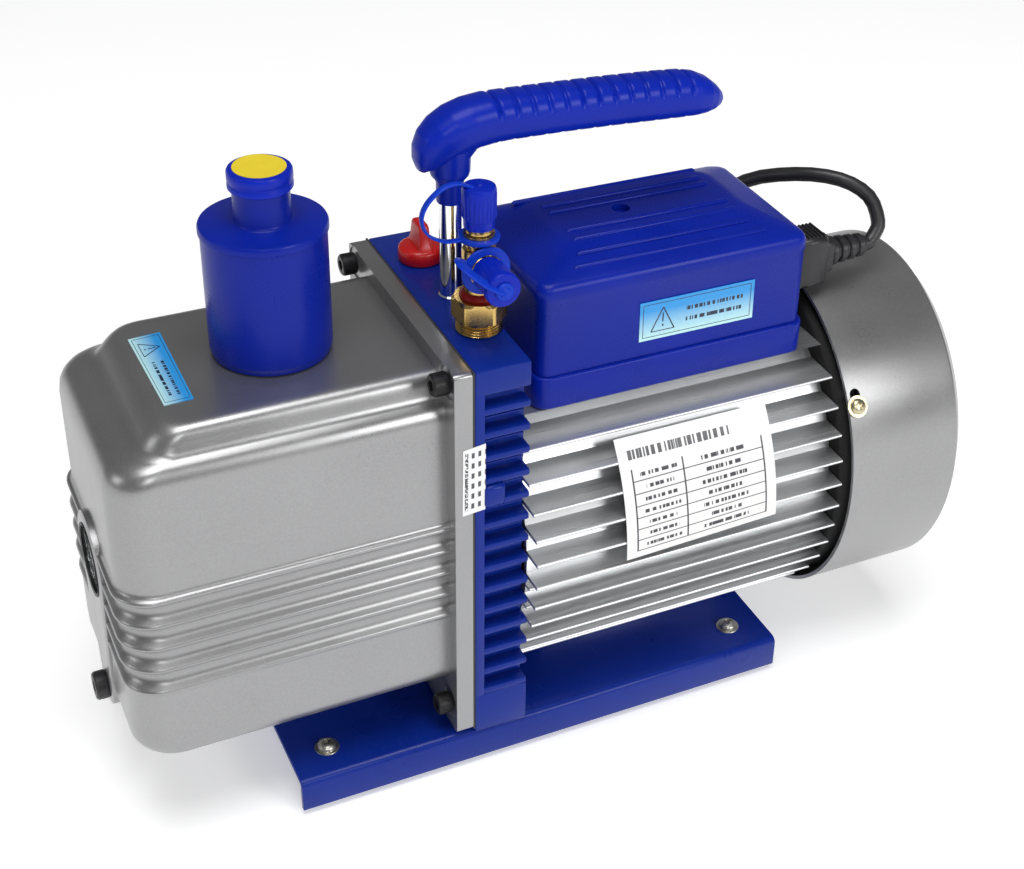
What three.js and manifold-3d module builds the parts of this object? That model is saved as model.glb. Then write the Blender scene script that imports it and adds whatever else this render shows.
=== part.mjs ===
// Two-stage rotary vane vacuum pump with a direct-drive motor, in millimetres, +Z up.
// +X runs along the shaft from the oil case to the fan cover, and -Y is the rating-label side.
// Heights are measured from the floor under the rubber feet. Stations along X are measured
// from the rear face of the oil case flange, and the whole assembly is centred at the end.
import * as THREE from "three";
import { mergeVertices } from "three/addons/utils/BufferGeometryUtils.js";
import Module from "manifold-3d";

const wasm = await Module();
wasm.setup();

// ---------------------------------------------------------------- driving dimensions
const GAP = 0.3; // clearance between touching pieces
const SHAFT_Z = 101; // height of the shaft axis

const BASE = { front: -77.4, rear: 154, half: 59.2, bottom: 3, top: 18.6, sheet: 2.5, bend: 3 };
const FOOT = { x: [-60.7, 137.3], y: 42.5, radius: 11, taper: 1.2 };

const FLANGE = { thick: 7.6, half: 60.2, bottom: 21.2, top: 203, corner: 3 };
const CASE = { front: -141, half: 54, bottom: 45, plateau: 196, step: 2 };
const GROOVE = { count: 4, first: 83, pitch: 11, depth: 2.6 };
const CASE_SCREW = { y: 52.5, top: 196.5, bottom: 34, head: 5, socket: 2.5, shank: 3 };
const SIGHT = { z: 115, glass: 16, boss: 20.5 };
const DRAIN = { z: 49.5, boss: 9, head: 7, thread: 4.6 };

const GASKET = 0.8;
const BODY = { front: 1, rear: 25, half: 60.2, bottom: 18.9, top: 203 };
const BODY_FIN = { count: 14, top: 185.1, pitch: 11, thick: 3.2, depth: 9, front: 5.3 };

const INLET = { x: 15.6, y: -29.5, flats: 23, tube: 6.6, stubZ: 229.5 };
const FILL = { x: 15.5, y: 34, radius: 10.3 };
const POST = { x: 15.5, radius: 4.6 };

const CAN = { x: -60.8, radius: 24.2, bottom: 196.3, top: 252.4, lip: 0.7, neck: 11, neckTop: 269 };

const STAGE_ONE = { rear: 0.7, length: 45, bore: 30, rotor: 25.2, offset: 4.5, vane: 14.2 };
const STAGE_TWO = { rear: -54.6, length: 25, bore: 26, rotor: 22.2, offset: 3.5, vane: 12 };
const RING = { radius: 40, drop: 4 }; // outside of the cartridge, and how far it hangs below the shaft
const MIDDLE_PLATE = [-54.3, -44.6];
const END_PLATE = [-89.6, -79.9];
const VANE_THICK = 3;
const SLOT_FLOOR = 8.7;

const MOTOR = { front: 25.6, rear: 174, tipHalf: 68, tipRise: 79, coreHalf: 57, coreRise: 66, bore: 54 };
const MOTOR_FIN = { count: 12, pitch: 11.6, thick: 2.2, rib: 4 };
const SHAFT = { thin: 7, thick: 10, front: -84, step: 9, rear: 214 };
const BEARING = { outer: 20, width: 12, front: 11.6, rear: 178.4 };
const BELL = { front: 174.4, rear: 184 };
const COVER = { front: 177, crease: 230, rear: 237, half: 72, rise: 82.5, wall: 1.6 };
const FAN = { front: 196, rear: 214, radius: 60, blades: 8 };

const BOX = { front: 44.5, rear: 161.8, near: -40.4, far: 35.4, floor: 164.5, joint: 179.5, lip: 1.6 };
const LID = { crease: 221.3, plateau: 228, wall: 2.4, screwX: 92.5 };
const INLET_PANEL = { near: -34, far: 29, bottom: 181.5, top: 214, rear: 164.6 };
const PLUG_IN = { y: -17, z: 196.5, half: 8, rise: 11.5 };
const SWITCH = { x: 160.5, y: 14, z: 198, tilt: 7 };

const CORD = { radius: 3.3, coil: [95, 135], coilRadius: 38.5, turnsWide: 2, turnsHigh: 3 };

// ---------------------------------------------------------------- solids and materials
const toSolid = (geometry) => {
  const g = geometry.index ? geometry.toNonIndexed() : geometry.clone();
  g.deleteAttribute("normal");
  g.deleteAttribute("uv");
  const merged = mergeVertices(g, 1e-3);
  return new wasm.Manifold(
    new wasm.Mesh({
      numProp: 3,
      vertProperties: merged.attributes.position.array,
      triVerts: new Uint32Array(merged.index.array),
    }),
  );
};

const toGeometry = (solid) => {
  const mesh = solid.getMesh();
  const geometry = new THREE.BufferGeometry();
  geometry.setAttribute("position", new THREE.BufferAttribute(mesh.vertProperties, 3));
  geometry.setIndex(new THREE.BufferAttribute(mesh.triVerts, 1));
  geometry.computeVertexNormals();
  return geometry;
};

const join = (first, ...rest) => rest.reduce((sum, item) => sum.add(item), first);
const cut = (first, ...rest) => rest.reduce((sum, item) => sum.subtract(item), first);

const block = (x0, x1, y0, y1, z0, z1) => {
  const g = new THREE.BoxGeometry(x1 - x0, y1 - y0, z1 - z0);
  g.translate((x0 + x1) / 2, (y0 + y1) / 2, (z0 + z1) / 2);
  return toSolid(g);
};

// A turned solid about +Z from [radius, height] pairs, which start and end on the axis,
// or close on themselves when the piece is a ring.
const turned = (profile, sides = 24) => {
  const points = profile.map(([r, z]) => new THREE.Vector2(r, z));
  const onAxis = profile[0][0] === 0 && profile[profile.length - 1][0] === 0;
  if (!onAxis) points.push(points[0].clone());
  const g = new THREE.LatheGeometry(points, sides);
  g.rotateX(Math.PI / 2);
  return toSolid(g);
};
const rod = (radius, z0, z1, sides = 24) =>
  turned([[0, z0], [radius, z0], [radius, z1], [0, z1]], sides);
const tube = (inner, outer, z0, z1, sides = 24) =>
  turned([[inner, z0], [outer, z0], [outer, z1], [inner, z1]], sides);

const QUARTER = 90;
const alongX = (solid) => solid.rotate([0, QUARTER, 0]);
const alongMinusY = (solid) => solid.rotate([QUARTER, 0, 0]);
const onShaft = (solid) => alongX(solid).translate([0, 0, SHAFT_Z]);
const at = (solid, x, y, z = 0) => solid.translate([x, y, z]);

// A flat outline of [y, z] pairs carried along +X.
const sectionX = (outline, x0, x1, holes = []) => {
  const shape = new THREE.Shape(outline.map(([y, z]) => new THREE.Vector2(y, z)));
  shape.holes = holes;
  const g = new THREE.ExtrudeGeometry(shape, { depth: x1 - x0, bevelEnabled: false, steps: 1 });
  g.applyMatrix4(new THREE.Matrix4().set(0, 0, 1, x0, 1, 0, 0, 0, 0, 1, 0, 0, 0, 0, 0, 1));
  return toSolid(g);
};

// A closed skin over a stack of rings that all hold the same number of points.
const loft = (rings) => {
  const n = rings[0].length;
  const position = [];
  const index = [];
  rings.forEach((ring) => ring.forEach((p) => position.push(...p)));
  for (let i = 0; i < rings.length - 1; i++) {
    for (let j = 0; j < n; j++) {
      const a = i * n + j;
      const b = i * n + ((j + 1) % n);
      index.push(a, b, b + n, a, b + n, a + n);
    }
  }
  const last = (rings.length - 1) * n;
  for (let j = 1; j < n - 1; j++) {
    index.push(0, j + 1, j, last, last + j, last + j + 1);
  }
  const g = new THREE.BufferGeometry();
  g.setAttribute("position", new THREE.Float32BufferAttribute(position, 3));
  g.setIndex(index);
  return toSolid(g);
};

// A level outline with rounded corners: front and rear stations, half width, corner radii.
const CORNER_STEPS = 4;
const levelRing = (front, rear, half, frontRadius, rearRadius, z) => {
  const corner = (cx, cy, radius, start) =>
    Array.from({ length: CORNER_STEPS + 1 }, (_, i) => {
      const angle = start + (i / CORNER_STEPS) * (Math.PI / 2);
      return [cx + radius * Math.cos(angle), cy + radius * Math.sin(angle), z];
    });
  return [
    ...corner(front + frontRadius, -half + frontRadius, frontRadius, Math.PI),
    ...corner(rear - rearRadius, -half + rearRadius, rearRadius, 1.5 * Math.PI),
    ...corner(rear - rearRadius, half - rearRadius, rearRadius, 0),
    ...corner(front + frontRadius, half - frontRadius, frontRadius, 0.5 * Math.PI),
  ];
};

// A round bar of the given radius along a smooth curve through the points.
const bar = (points, radius, sides, steps) => {
  const path = new THREE.CatmullRomCurve3(points.map((p) => new THREE.Vector3(...p)));
  const angle = (i) => (2 * Math.PI * i) / sides;
  const ring = Array.from({ length: sides }, (_, i) =>
    new THREE.Vector2(radius * Math.cos(angle(i)), radius * Math.sin(angle(i))),
  );
  const shape = new THREE.Shape(ring);
  return toSolid(new THREE.ExtrudeGeometry(shape, { steps, extrudePath: path, bevelEnabled: false }));
};

const material = (color, roughness, metalness) =>
  new THREE.MeshStandardMaterial({ color, roughness, metalness });
const paint = {
  blue: material(0x10239b, 0.35, 0.1),
  silver: material(0xb4b6b8, 0.45, 0.7),
  aluminium: material(0xc9cbcd, 0.4, 0.9),
  steel: material(0x9a9da0, 0.35, 1),
  chrome: material(0xd8dadd, 0.1, 1),
  brass: material(0xb08d3c, 0.3, 1),
  black: material(0x17181a, 0.5, 0.1),
  red: material(0xc01414, 0.4, 0),
  gripBlue: material(0x1226a8, 0.45, 0),
  rubber: material(0x1c1c1c, 0.85, 0),
  glass: material(0xdfe8ea, 0.05, 0),
  iron: material(0x6c6e70, 0.6, 0.9),
  copper: material(0xa85a32, 0.4, 0.9),
  felt: material(0xd9d3bf, 0.95, 0),
  carbon: material(0x2d2e30, 0.7, 0.1),
};

const assembly = new THREE.Group();
const part = (name, solid, finish) => {
  const mesh = new THREE.Mesh(toGeometry(solid), finish);
  mesh.name = name;
  assembly.add(mesh);
  return mesh;
};
// The same solid again at another place.
const copyOf = (name, solid, finish, x, y, z) => {
  part(name, solid, finish).position.set(x, y, z);
};

// ---------------------------------------------------------------- base, feet and their screws
const baseOutline = (() => {
  const { half, bottom, top, sheet, bend } = BASE;
  const outer = [[-half, bottom], [-half, top - bend], [-half + bend, top]];
  const inner = [[-half + sheet, bottom], [-half + sheet, top - bend], [-half + bend, top - sheet]];
  const mirrored = (side) => side.map(([y, z]) => [-y, z]).reverse();
  return [...inner, ...mirrored(inner), ...outer.map(([y, z]) => [-y, z]), ...[...outer].reverse()];
})();
const footPlaces = [
  ["front_left", FOOT.x[0], -FOOT.y],
  ["front_right", FOOT.x[0], FOOT.y],
  ["rear_left", FOOT.x[1], -FOOT.y],
  ["rear_right", FOOT.x[1], FOOT.y],
];
const SCREW_HOLE = 2.5;
const sheetHoles = footPlaces.map(([, x, y]) => at(rod(SCREW_HOLE, 10, 25, 12), x, y));
part("base_plate", cut(sectionX(baseOutline, BASE.front, BASE.rear), ...sheetHoles), paint.blue);

const footTop = BASE.top - BASE.sheet - GAP;
const foot = turned(
  [
    [0, 0],
    [FOOT.radius - FOOT.taper, 0],
    [FOOT.radius, footTop],
    [SCREW_HOLE, footTop],
    [SCREW_HOLE, 4],
    [0, 4],
  ],
  20,
);
const SCREW_SHANK = 2.2;
const footScrew = turned(
  [
    [0, 5],
    [SCREW_SHANK, 5],
    [SCREW_SHANK, BASE.top + GAP],
    [4.1, BASE.top + GAP],
    [3.9, BASE.top + 1.8],
    [2.2, BASE.top + 3],
    [0, BASE.top + 3.2],
  ],
  12,
);
footPlaces.forEach(([place, x, y]) => {
  copyOf("foot_" + place, foot, paint.rubber, x, y, 0);
  copyOf("foot_screw_" + place, footScrew, paint.steel, x, y, 0);
});

// ---------------------------------------------------------------- oil case with its flange
const caseRing = (inset, z, frontInset = inset, radius = 16) =>
  levelRing(CASE.front + frontInset, -FLANGE.thick / 2, CASE.half - inset, radius, 0.5, z);
const grooveRings = Array.from({ length: GROOVE.count }, (_, i) => {
  const z = GROOVE.first + i * GROOVE.pitch;
  return [
    caseRing(0, z),
    caseRing(GROOVE.depth, z + 3),
    caseRing(GROOVE.depth, z + 8.6),
    caseRing(0, z + GROOVE.pitch - 0.8),
  ];
}).flat();
const ribsTop = GROOVE.first + GROOVE.count * GROOVE.pitch;
const caseSkin = loft([
  caseRing(7, CASE.bottom, 12, 12),
  caseRing(3, CASE.bottom + 2, 6, 13),
  caseRing(1, CASE.bottom + 6.5, 1.8, 15),
  caseRing(0.6, CASE.bottom + 12, 0.6, 16),
  caseRing(0.6, GROOVE.first - 1.5),
  ...grooveRings,
  caseRing(0, ribsTop),
  caseRing(CASE.step, ribsTop + 2),
  caseRing(CASE.step, CASE.plateau - 22),
  caseRing(3, CASE.plateau - 16, 4),
  caseRing(5.4, CASE.plateau - 12, 8, 15),
  caseRing(8, CASE.plateau - 10, 15, 14),
  caseRing(9.6, CASE.plateau - 6.5, 20, 12),
  caseRing(10.6, CASE.plateau - 2.8, 23, 11),
  caseRing(12, CASE.plateau - 0.8, 25, 10),
  caseRing(15, CASE.plateau, 28, 9),
]);
const hollowRing = (inset, z, frontInset) =>
  levelRing(CASE.front + frontInset, 5, CASE.half - inset, 11, 0.5, z);
const caseHollow = loft([
  hollowRing(10, CASE.bottom + 5, 12),
  hollowRing(7.5, CASE.bottom + 9, 7.5),
  hollowRing(7.5, CASE.plateau - 22, 7.5),
  hollowRing(13, CASE.plateau - 13, 20),
  hollowRing(16, CASE.plateau - 5, 30),
]);
const casePlaces = [
  ["upper_left", -CASE_SCREW.y, CASE_SCREW.top],
  ["upper_right", CASE_SCREW.y, CASE_SCREW.top],
  ["lower_left", -CASE_SCREW.y, CASE_SCREW.bottom],
  ["lower_right", CASE_SCREW.y, CASE_SCREW.bottom],
];
const boltHole = (y, z) => at(alongX(rod(CASE_SCREW.shank + 0.2, -30, 22, 12)), 0, y, z);
const boltHoles = casePlaces.map(([, y, z]) => boltHole(y, z));
const headPocket = (y, z) => at(alongX(rod(CASE_SCREW.head + 1.4, -24, -FLANGE.thick, 16)), 0, y, z);
const flangeRing = (x) => {
  const { half, bottom, top, corner } = FLANGE;
  return [
    [x, -half, bottom + corner],
    [x, -half + corner, bottom],
    [x, half - corner, bottom],
    [x, half, bottom + corner],
    [x, half, top - corner],
    [x, half - corner, top],
    [x, -half + corner, top],
    [x, -half, top - corner],
  ];
};
const flange = loft([flangeRing(-FLANGE.thick), flangeRing(0)]);
const sightBoss = at(alongX(rod(SIGHT.boss, CASE.front - 1, CASE.front + 9, 28)), 0, 0, SIGHT.z);
const sightHole = at(alongX(rod(SIGHT.glass + 0.3, CASE.front - 5, CASE.front + 20, 28)), 0, 0, SIGHT.z);
const drainBoss = at(alongX(rod(DRAIN.boss, CASE.front - 0.6, CASE.front + 18, 20)), 0, 0, DRAIN.z);
const frontWeb = loft([
  levelRing(CASE.front - 0.6, CASE.front + 12, 9, 3, 1, DRAIN.z),
  levelRing(CASE.front - 0.6, CASE.front + 12, 11, 3, 1, SIGHT.z - 8),
]);
const drainHole = at(alongX(rod(DRAIN.thread + 0.3, CASE.front - 5, CASE.front + 20, 16)), 0, 0, DRAIN.z);
const exhaustHole = at(rod(9.6, CASE.plateau - 20, CASE.plateau + 5), CAN.x, 0);
const caseCasting = cut(
  join(caseSkin, flange, sightBoss, frontWeb, drainBoss),
  caseHollow,
  ...boltHoles,
  ...casePlaces.map(([, y, z]) => headPocket(y, z)),
  sightHole,
  drainHole,
  exhaustHole,
);
part("oil_case", caseCasting, paint.silver);

const gasketSheet = block(0.1, 0.1 + GASKET, -FLANGE.half, FLANGE.half, FLANGE.bottom, FLANGE.top);
const gasketHole = block(-1, 2, -CASE.half + 7, CASE.half - 7, CASE.bottom + 9, CASE.plateau - 12);
part("case_gasket", cut(gasketSheet, gasketHole, ...boltHoles), paint.rubber);

const capScrew = alongX(
  turned(
    [
      [0, 18],
      [CASE_SCREW.shank, 18],
      [CASE_SCREW.shank, -FLANGE.thick - GAP],
      [CASE_SCREW.head, -FLANGE.thick - GAP],
      [CASE_SCREW.head, -FLANGE.thick - 6],
      [CASE_SCREW.head - 0.5, -FLANGE.thick - 6.5],
      [CASE_SCREW.socket, -FLANGE.thick - 6.5],
      [CASE_SCREW.socket, -FLANGE.thick - 3],
      [0, -FLANGE.thick - 3],
    ].reverse(),
    12,
  ),
);
casePlaces.forEach(([place, y, z]) => copyOf("case_screw_" + place, capScrew, paint.black, 0, y, z));

const glassDisc = alongX(rod(SIGHT.glass, CASE.front + 0.4, CASE.front + 5, 28));
copyOf("sight_glass", glassDisc, paint.glass, 0, 0, SIGHT.z);

const drainPlug = alongX(
  turned(
    [
      [0, CASE.front - 3.4],
      [3, CASE.front - 3.4],
      [3, CASE.front - 6.2],
      [DRAIN.head - 0.6, CASE.front - 6.2],
      [DRAIN.head, CASE.front - 5.6],
      [DRAIN.head, CASE.front - 0.9],
      [DRAIN.thread, CASE.front - 0.9],
      [DRAIN.thread, CASE.front + 9],
      [0, CASE.front + 9],
    ],
    16,
  ),
);
copyOf("drain_plug", drainPlug, paint.black, 0, 0, DRAIN.z);

// ---------------------------------------------------------------- finned pump body
const finSlots = [-1, 1].flatMap((side) =>
  Array.from({ length: BODY_FIN.count }, (_, i) => {
    const top = BODY_FIN.top - (i - 1) * BODY_FIN.pitch - BODY_FIN.thick;
    const bottom = BODY_FIN.top - i * BODY_FIN.pitch;
    const ceiling = i === 0 ? BODY_FIN.top + 7 : top;
    const inner = side * (BODY.half - BODY_FIN.depth);
    const outer = side * (BODY.half + 5);
    const y0 = Math.min(inner, outer);
    const y1 = Math.max(inner, outer);
    return block(BODY_FIN.front, BODY.rear + 5, y0, y1, bottom, ceiling);
  }),
);
const bodyBlock = block(BODY.front, BODY.rear, -BODY.half, BODY.half, BODY.bottom, BODY.top);
const bodyHoles = [
  onShaft(rod(SHAFT.thick + 0.4, 8.6, 15, 20)),
  onShaft(rod(SHAFT.thin + 0.4, -5, 9, 20)),
  onShaft(rod(BEARING.outer + GAP, BEARING.front - GAP, 30, 28)),
  at(rod(4.6, 140, 210, 12), INLET.x, INLET.y),
  at(rod(6.3, 190, 210, 16), FILL.x, FILL.y),
  at(rod(4.8, 195, 210, 16), POST.x, 0),
];
part("pump_body", cut(bodyBlock, ...finSlots, ...boltHoles, ...bodyHoles), paint.blue);

// ---------------------------------------------------------------- oil fill cap
const bodyTop = BODY.top + GAP;
const fillDisc = turned([
  [0, 193.5],
  [6, 193.5],
  [6, bodyTop],
  [FILL.radius, bodyTop],
  [FILL.radius - 0.2, bodyTop + 5.6],
  [FILL.radius - 1.2, bodyTop + 6.8],
  [0, bodyTop + 6.8],
]);
const wingRing = (halfX, halfY, z) => [
  [-halfX, -halfY, z],
  [halfX, -halfY, z],
  [halfX, halfY, z],
  [-halfX, halfY, z],
];
const fillWing = loft([wingRing(3.2, 8.2, bodyTop + 6), wingRing(2.4, 5.2, bodyTop + 17.5)]);
copyOf("oil_fill_cap", join(fillDisc, fillWing), paint.red, FILL.x, FILL.y, 0);

// ---------------------------------------------------------------- carrying handle
const postTop = 268;
const post = turned([
  [0, 196],
  [POST.radius, 196],
  [POST.radius, bodyTop],
  [6, bodyTop],
  [6, bodyTop + 2.2],
  [POST.radius, bodyTop + 2.6],
  [POST.radius, postTop],
  [0, postTop],
]);
copyOf("handle_post", post, paint.chrome, POST.x, 0, 0);

// Oval sections along the grip: station, height, half height, half width, forward lean.
const gripSections = [
  [2.8, 262, 1.2, 2.2, 70],
  [4.6, 265.5, 4.6, 6.4, 62],
  [9, 271.5, 7.8, 9, 48],
  [16, 276.3, 9.2, 10.2, 28],
  [26, 279.2, 9.3, 10.4, 10],
  [38, 280, 9, 10.2, 0],
  [80, 278.6, 9, 10.2, -2],
  [120, 276.8, 8.9, 10, -3],
  [130, 275.6, 7.4, 8.8, -6],
  [137, 274, 4.6, 6, -8],
  [140.4, 273, 1.4, 2, -8],
];
const GRIP_SIDES = 16;
const gripBar = loft(
  gripSections.map(([x, z, halfHeight, halfWidth, lean]) => {
    const tilt = THREE.MathUtils.degToRad(lean);
    return Array.from({ length: GRIP_SIDES }, (_, i) => {
      const angle = (2 * Math.PI * i) / GRIP_SIDES;
      const up = halfHeight * Math.sin(angle);
      return [x - up * Math.sin(tilt), halfWidth * Math.cos(angle), z + up * Math.cos(tilt)];
    });
  }),
);
const gripNeck = at(
  turned([
    [0, 248],
    [6.4, 248],
    [6.9, 256],
    [8.6, 259],
    [10.2, 263],
    [10, 275],
    [0, 275],
  ]),
  POST.x,
  0,
);
const gripBore = at(rod(POST.radius + 0.2, 240, postTop + GAP, 24), POST.x, 0);
part("handle_grip", cut(join(gripBar, gripNeck), gripBore), paint.gripBlue);

// ---------------------------------------------------------------- inlet fitting, its two caps and their straps
const HEX = 6;
const hexRadius = INLET.flats / 2 / Math.cos(Math.PI / HEX);
const stubEnd = 16.5;
const capGap = 0.35;
const fittingColumn = join(
  rod(4.2, 170, bodyTop + 1, 12),
  rod(10.6, bodyTop, 208.4),
  turned([[0, 207], [hexRadius - 1.4, 207], [hexRadius, 208.6], [hexRadius, 217.4], [9.4, 219.4], [0, 219.4]], HEX),
  rod(7, 219, 224),
  rod(INLET.tube, 222, 262),
  at(alongMinusY(rod(INLET.tube, 0, stubEnd, 20)), 0, 0, INLET.stubZ),
);
const fittingBore = join(
  rod(3, 165, 266, 12),
  at(alongMinusY(rod(3, 0, stubEnd + 3, 12)), 0, 0, INLET.stubZ),
);
copyOf("inlet_fitting", cut(fittingColumn, fittingBore), paint.brass, INLET.x, INLET.y, 0);

// A flare cap, open at its lower end, which slips over a stub of the fitting.
const TOP_CAP = { z: 247.3, depth: 15 };
const SIDE_CAP_DEPTH = 9.4;
const capBore = INLET.tube + capGap;
const flareCap = (depth) =>
  turned(
    [
      [0, depth],
      [capBore, depth],
      [capBore, 0],
      [capBore + 1, 0],
      [capBore + 1.1, depth + 1],
      [capBore + 0.2, depth + 2.2],
      [0, depth + 2.2],
    ],
    20,
  );
copyOf("inlet_cap_top", flareCap(TOP_CAP.depth), paint.gripBlue, INLET.x, INLET.y, TOP_CAP.z);
const sideCapY = INLET.y - stubEnd + SIDE_CAP_DEPTH - 0.5;
const sideCap = alongMinusY(flareCap(SIDE_CAP_DEPTH));
copyOf("inlet_cap_side", sideCap, paint.gripBlue, INLET.x, sideCapY, INLET.stubZ);

// Each strap is a ring round the fitting with a tongue that reaches its cap.
const strapRing = (z) => tube(INLET.tube + 0.4, INLET.tube + 2.6, z, z + 1.6);
const topTongue = bar(
  [
    [-8, -0.5, 245.4],
    [-16, -1, 246],
    [-23, -2, 251],
    [-24.5, -2, 259],
    [-19.5, -1.5, 266],
    [-12.5, -0.5, 268],
    [-9.4, 0, 264],
    [-9.2, 0, 260],
  ],
  0.9,
  8,
  26,
);
copyOf("cap_strap_top", join(strapRing(244.6), topTongue), paint.gripBlue, INLET.x, INLET.y, 0);
const sideTongue = bar(
  [
    [-7.5, -3, 242.6],
    [-11.5, -7, 243],
    [-12.4, -12, 239],
    [-10.6, -16, 233.5],
    [-9.2, -18, 230.4],
  ],
  1.1,
  8,
  16,
);
copyOf("cap_strap_side", join(strapRing(242), sideTongue), paint.gripBlue, INLET.x, INLET.y, 0);

// ---------------------------------------------------------------- exhaust filter can, its element and its dust cap
const canShell = turned([
  [6, CAN.bottom - 12],
  [9.2, CAN.bottom - 12],
  [9.2, CAN.bottom],
  [CAN.radius - 1, CAN.bottom],
  [CAN.radius, CAN.bottom + 1],
  [CAN.radius, CAN.top - 3.5],
  [CAN.radius + CAN.lip, CAN.top - 3.5],
  [CAN.radius + CAN.lip, CAN.top - 0.8],
  [CAN.radius - 0.4, CAN.top],
  [CAN.neck + 0.8, CAN.top],
  [CAN.neck, CAN.top + 1],
  [CAN.neck, CAN.neckTop],
  [CAN.neck - 2.5, CAN.neckTop],
  [CAN.neck - 2.5, CAN.top - 2],
  [CAN.radius - 1.8, CAN.top - 2],
  [CAN.radius - 1.8, CAN.bottom + 2.2],
  [6, CAN.bottom + 2.2],
], 32);
copyOf("exhaust_filter_can", canShell, paint.gripBlue, CAN.x, 0, 0);
const element = tube(10, 18, CAN.bottom + 2.6, CAN.top - 5, 20);
copyOf("exhaust_filter_element", element, paint.felt, CAN.x, 0, 0);
const dustCap = turned([
  [0, CAN.neckTop + 0.4],
  [CAN.neck + GAP, CAN.neckTop + 0.4],
  [CAN.neck + GAP, CAN.neckTop - 2.6],
  [CAN.neck + 1.5, CAN.neckTop - 2.6],
  [CAN.neck + 1.5, CAN.neckTop + 4.6],
  [CAN.neck + 0.9, CAN.neckTop + 5.3],
  [0, CAN.neckTop + 5.3],
], 28);
copyOf("exhaust_cap", dustCap, paint.gripBlue, CAN.x, 0, 0);

// ---------------------------------------------------------------- two-stage pumping cartridge
const ringBody = (x0, x1, bore, offset) => {
  const outside = at(alongX(rod(RING.radius, x0, x1, 32)), 0, 0, SHAFT_Z - RING.drop);
  const inside = at(alongX(rod(bore, x0 - 1, x1 + 1, 36)), 0, 0, SHAFT_Z - offset);
  return cut(outside, inside);
};
const rotorBody = (stage) => {
  const x0 = stage.rear - stage.length;
  const slot = (side) => {
    const y0 = side < 0 ? -stage.rotor - 2 : SLOT_FLOOR;
    const y1 = side < 0 ? -SLOT_FLOOR : stage.rotor + 2;
    const halfSlot = VANE_THICK / 2 + GAP;
    return block(x0 - 1, stage.rear + 1, y0, y1, SHAFT_Z - halfSlot, SHAFT_Z + halfSlot);
  };
  const round = onShaft(rod(stage.rotor, x0, stage.rear, 36));
  return cut(round, onShaft(rod(SHAFT.thin + GAP, x0 - 1, stage.rear + 1, 20)), slot(-1), slot(1));
};
const vaneBody = (stage, side) => {
  const x0 = stage.rear - stage.length;
  const y0 = side < 0 ? -stage.rotor : stage.rotor - stage.vane;
  const z0 = SHAFT_Z - VANE_THICK / 2;
  return block(x0, stage.rear, y0, y0 + stage.vane, z0, z0 + VANE_THICK);
};
[
  ["stage_one", STAGE_ONE],
  ["stage_two", STAGE_TWO],
].forEach(([name, stage]) => {
  const x0 = stage.rear - stage.length;
  part(name + "_stator", ringBody(x0, stage.rear, stage.bore, stage.offset), paint.iron);
  part(name + "_rotor", rotorBody(stage), paint.steel);
  part(name + "_vane_a", vaneBody(stage, -1), paint.carbon);
  part(name + "_vane_b", vaneBody(stage, 1), paint.carbon);
});
part("middle_plate", ringBody(...MIDDLE_PLATE, SHAFT.thin + GAP, 0), paint.iron);
const endDisc = at(alongX(rod(RING.radius, ...END_PLATE, 32)), 0, 0, SHAFT_Z - RING.drop);
part("end_plate", cut(endDisc, onShaft(rod(SHAFT.thin + GAP, SHAFT.front - GAP, -70, 20))), paint.iron);

// ---------------------------------------------------------------- motor
// A solid of oval section along the shaft, from [x, half width, half height] stations.
const OVAL_SIDES = 32;
const ovalSolid = (stations) =>
  loft(
    stations.map(([x, half, rise]) =>
      Array.from({ length: OVAL_SIDES }, (_, i) => {
        const angle = (2 * Math.PI * i) / OVAL_SIDES;
        return [x, half * Math.cos(angle), SHAFT_Z + rise * Math.sin(angle)];
      }),
    ),
  );
const finTip = (z, half, rise) => half * Math.sqrt(1 - ((z - SHAFT_Z) / rise) ** 2);
const motorFins = Array.from({ length: MOTOR_FIN.count }, (_, i) => {
  const z = SHAFT_Z + ((MOTOR_FIN.count - 1) / 2 - i) * MOTOR_FIN.pitch;
  const tip = finTip(z, MOTOR.tipHalf, MOTOR.tipRise);
  const half = MOTOR_FIN.thick / 2;
  const fin = block(MOTOR.front, MOTOR.rear, -tip, tip, z - half, z + half);
  if (z > SHAFT_Z || i === MOTOR_FIN.count - 1) return [fin];
  const ribZ = z - MOTOR_FIN.pitch / 2;
  const reach = finTip(ribZ, MOTOR.coreHalf + MOTOR_FIN.rib, MOTOR.coreRise + MOTOR_FIN.rib);
  return [fin, block(MOTOR.front, MOTOR.rear, -reach, reach, ribZ - 0.7, ribZ + 0.7)];
}).flat();
const motorCore = ovalSolid([
  [MOTOR.front, MOTOR.coreHalf, MOTOR.coreRise],
  [MOTOR.rear, MOTOR.coreHalf, MOTOR.coreRise],
]);
const boxSeat = block(50, 156, -34, 30, 150, BOX.floor - GAP);
const pedestal = block(52, 148, -30, 30, BASE.top + GAP, 40);
const aboveSeat = block(BOX.front - 3, BOX.rear + 3, BOX.near - 4, BOX.far + 4, BOX.floor - GAP, 200);
const frame = cut(
  join(motorCore, ...motorFins, boxSeat, pedestal),
  aboveSeat,
  onShaft(rod(MOTOR.bore, 20, 180, 36)),
  at(rod(7, 140, 170, 12), 130, 0),
);
part("motor_frame", frame, paint.aluminium);

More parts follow.
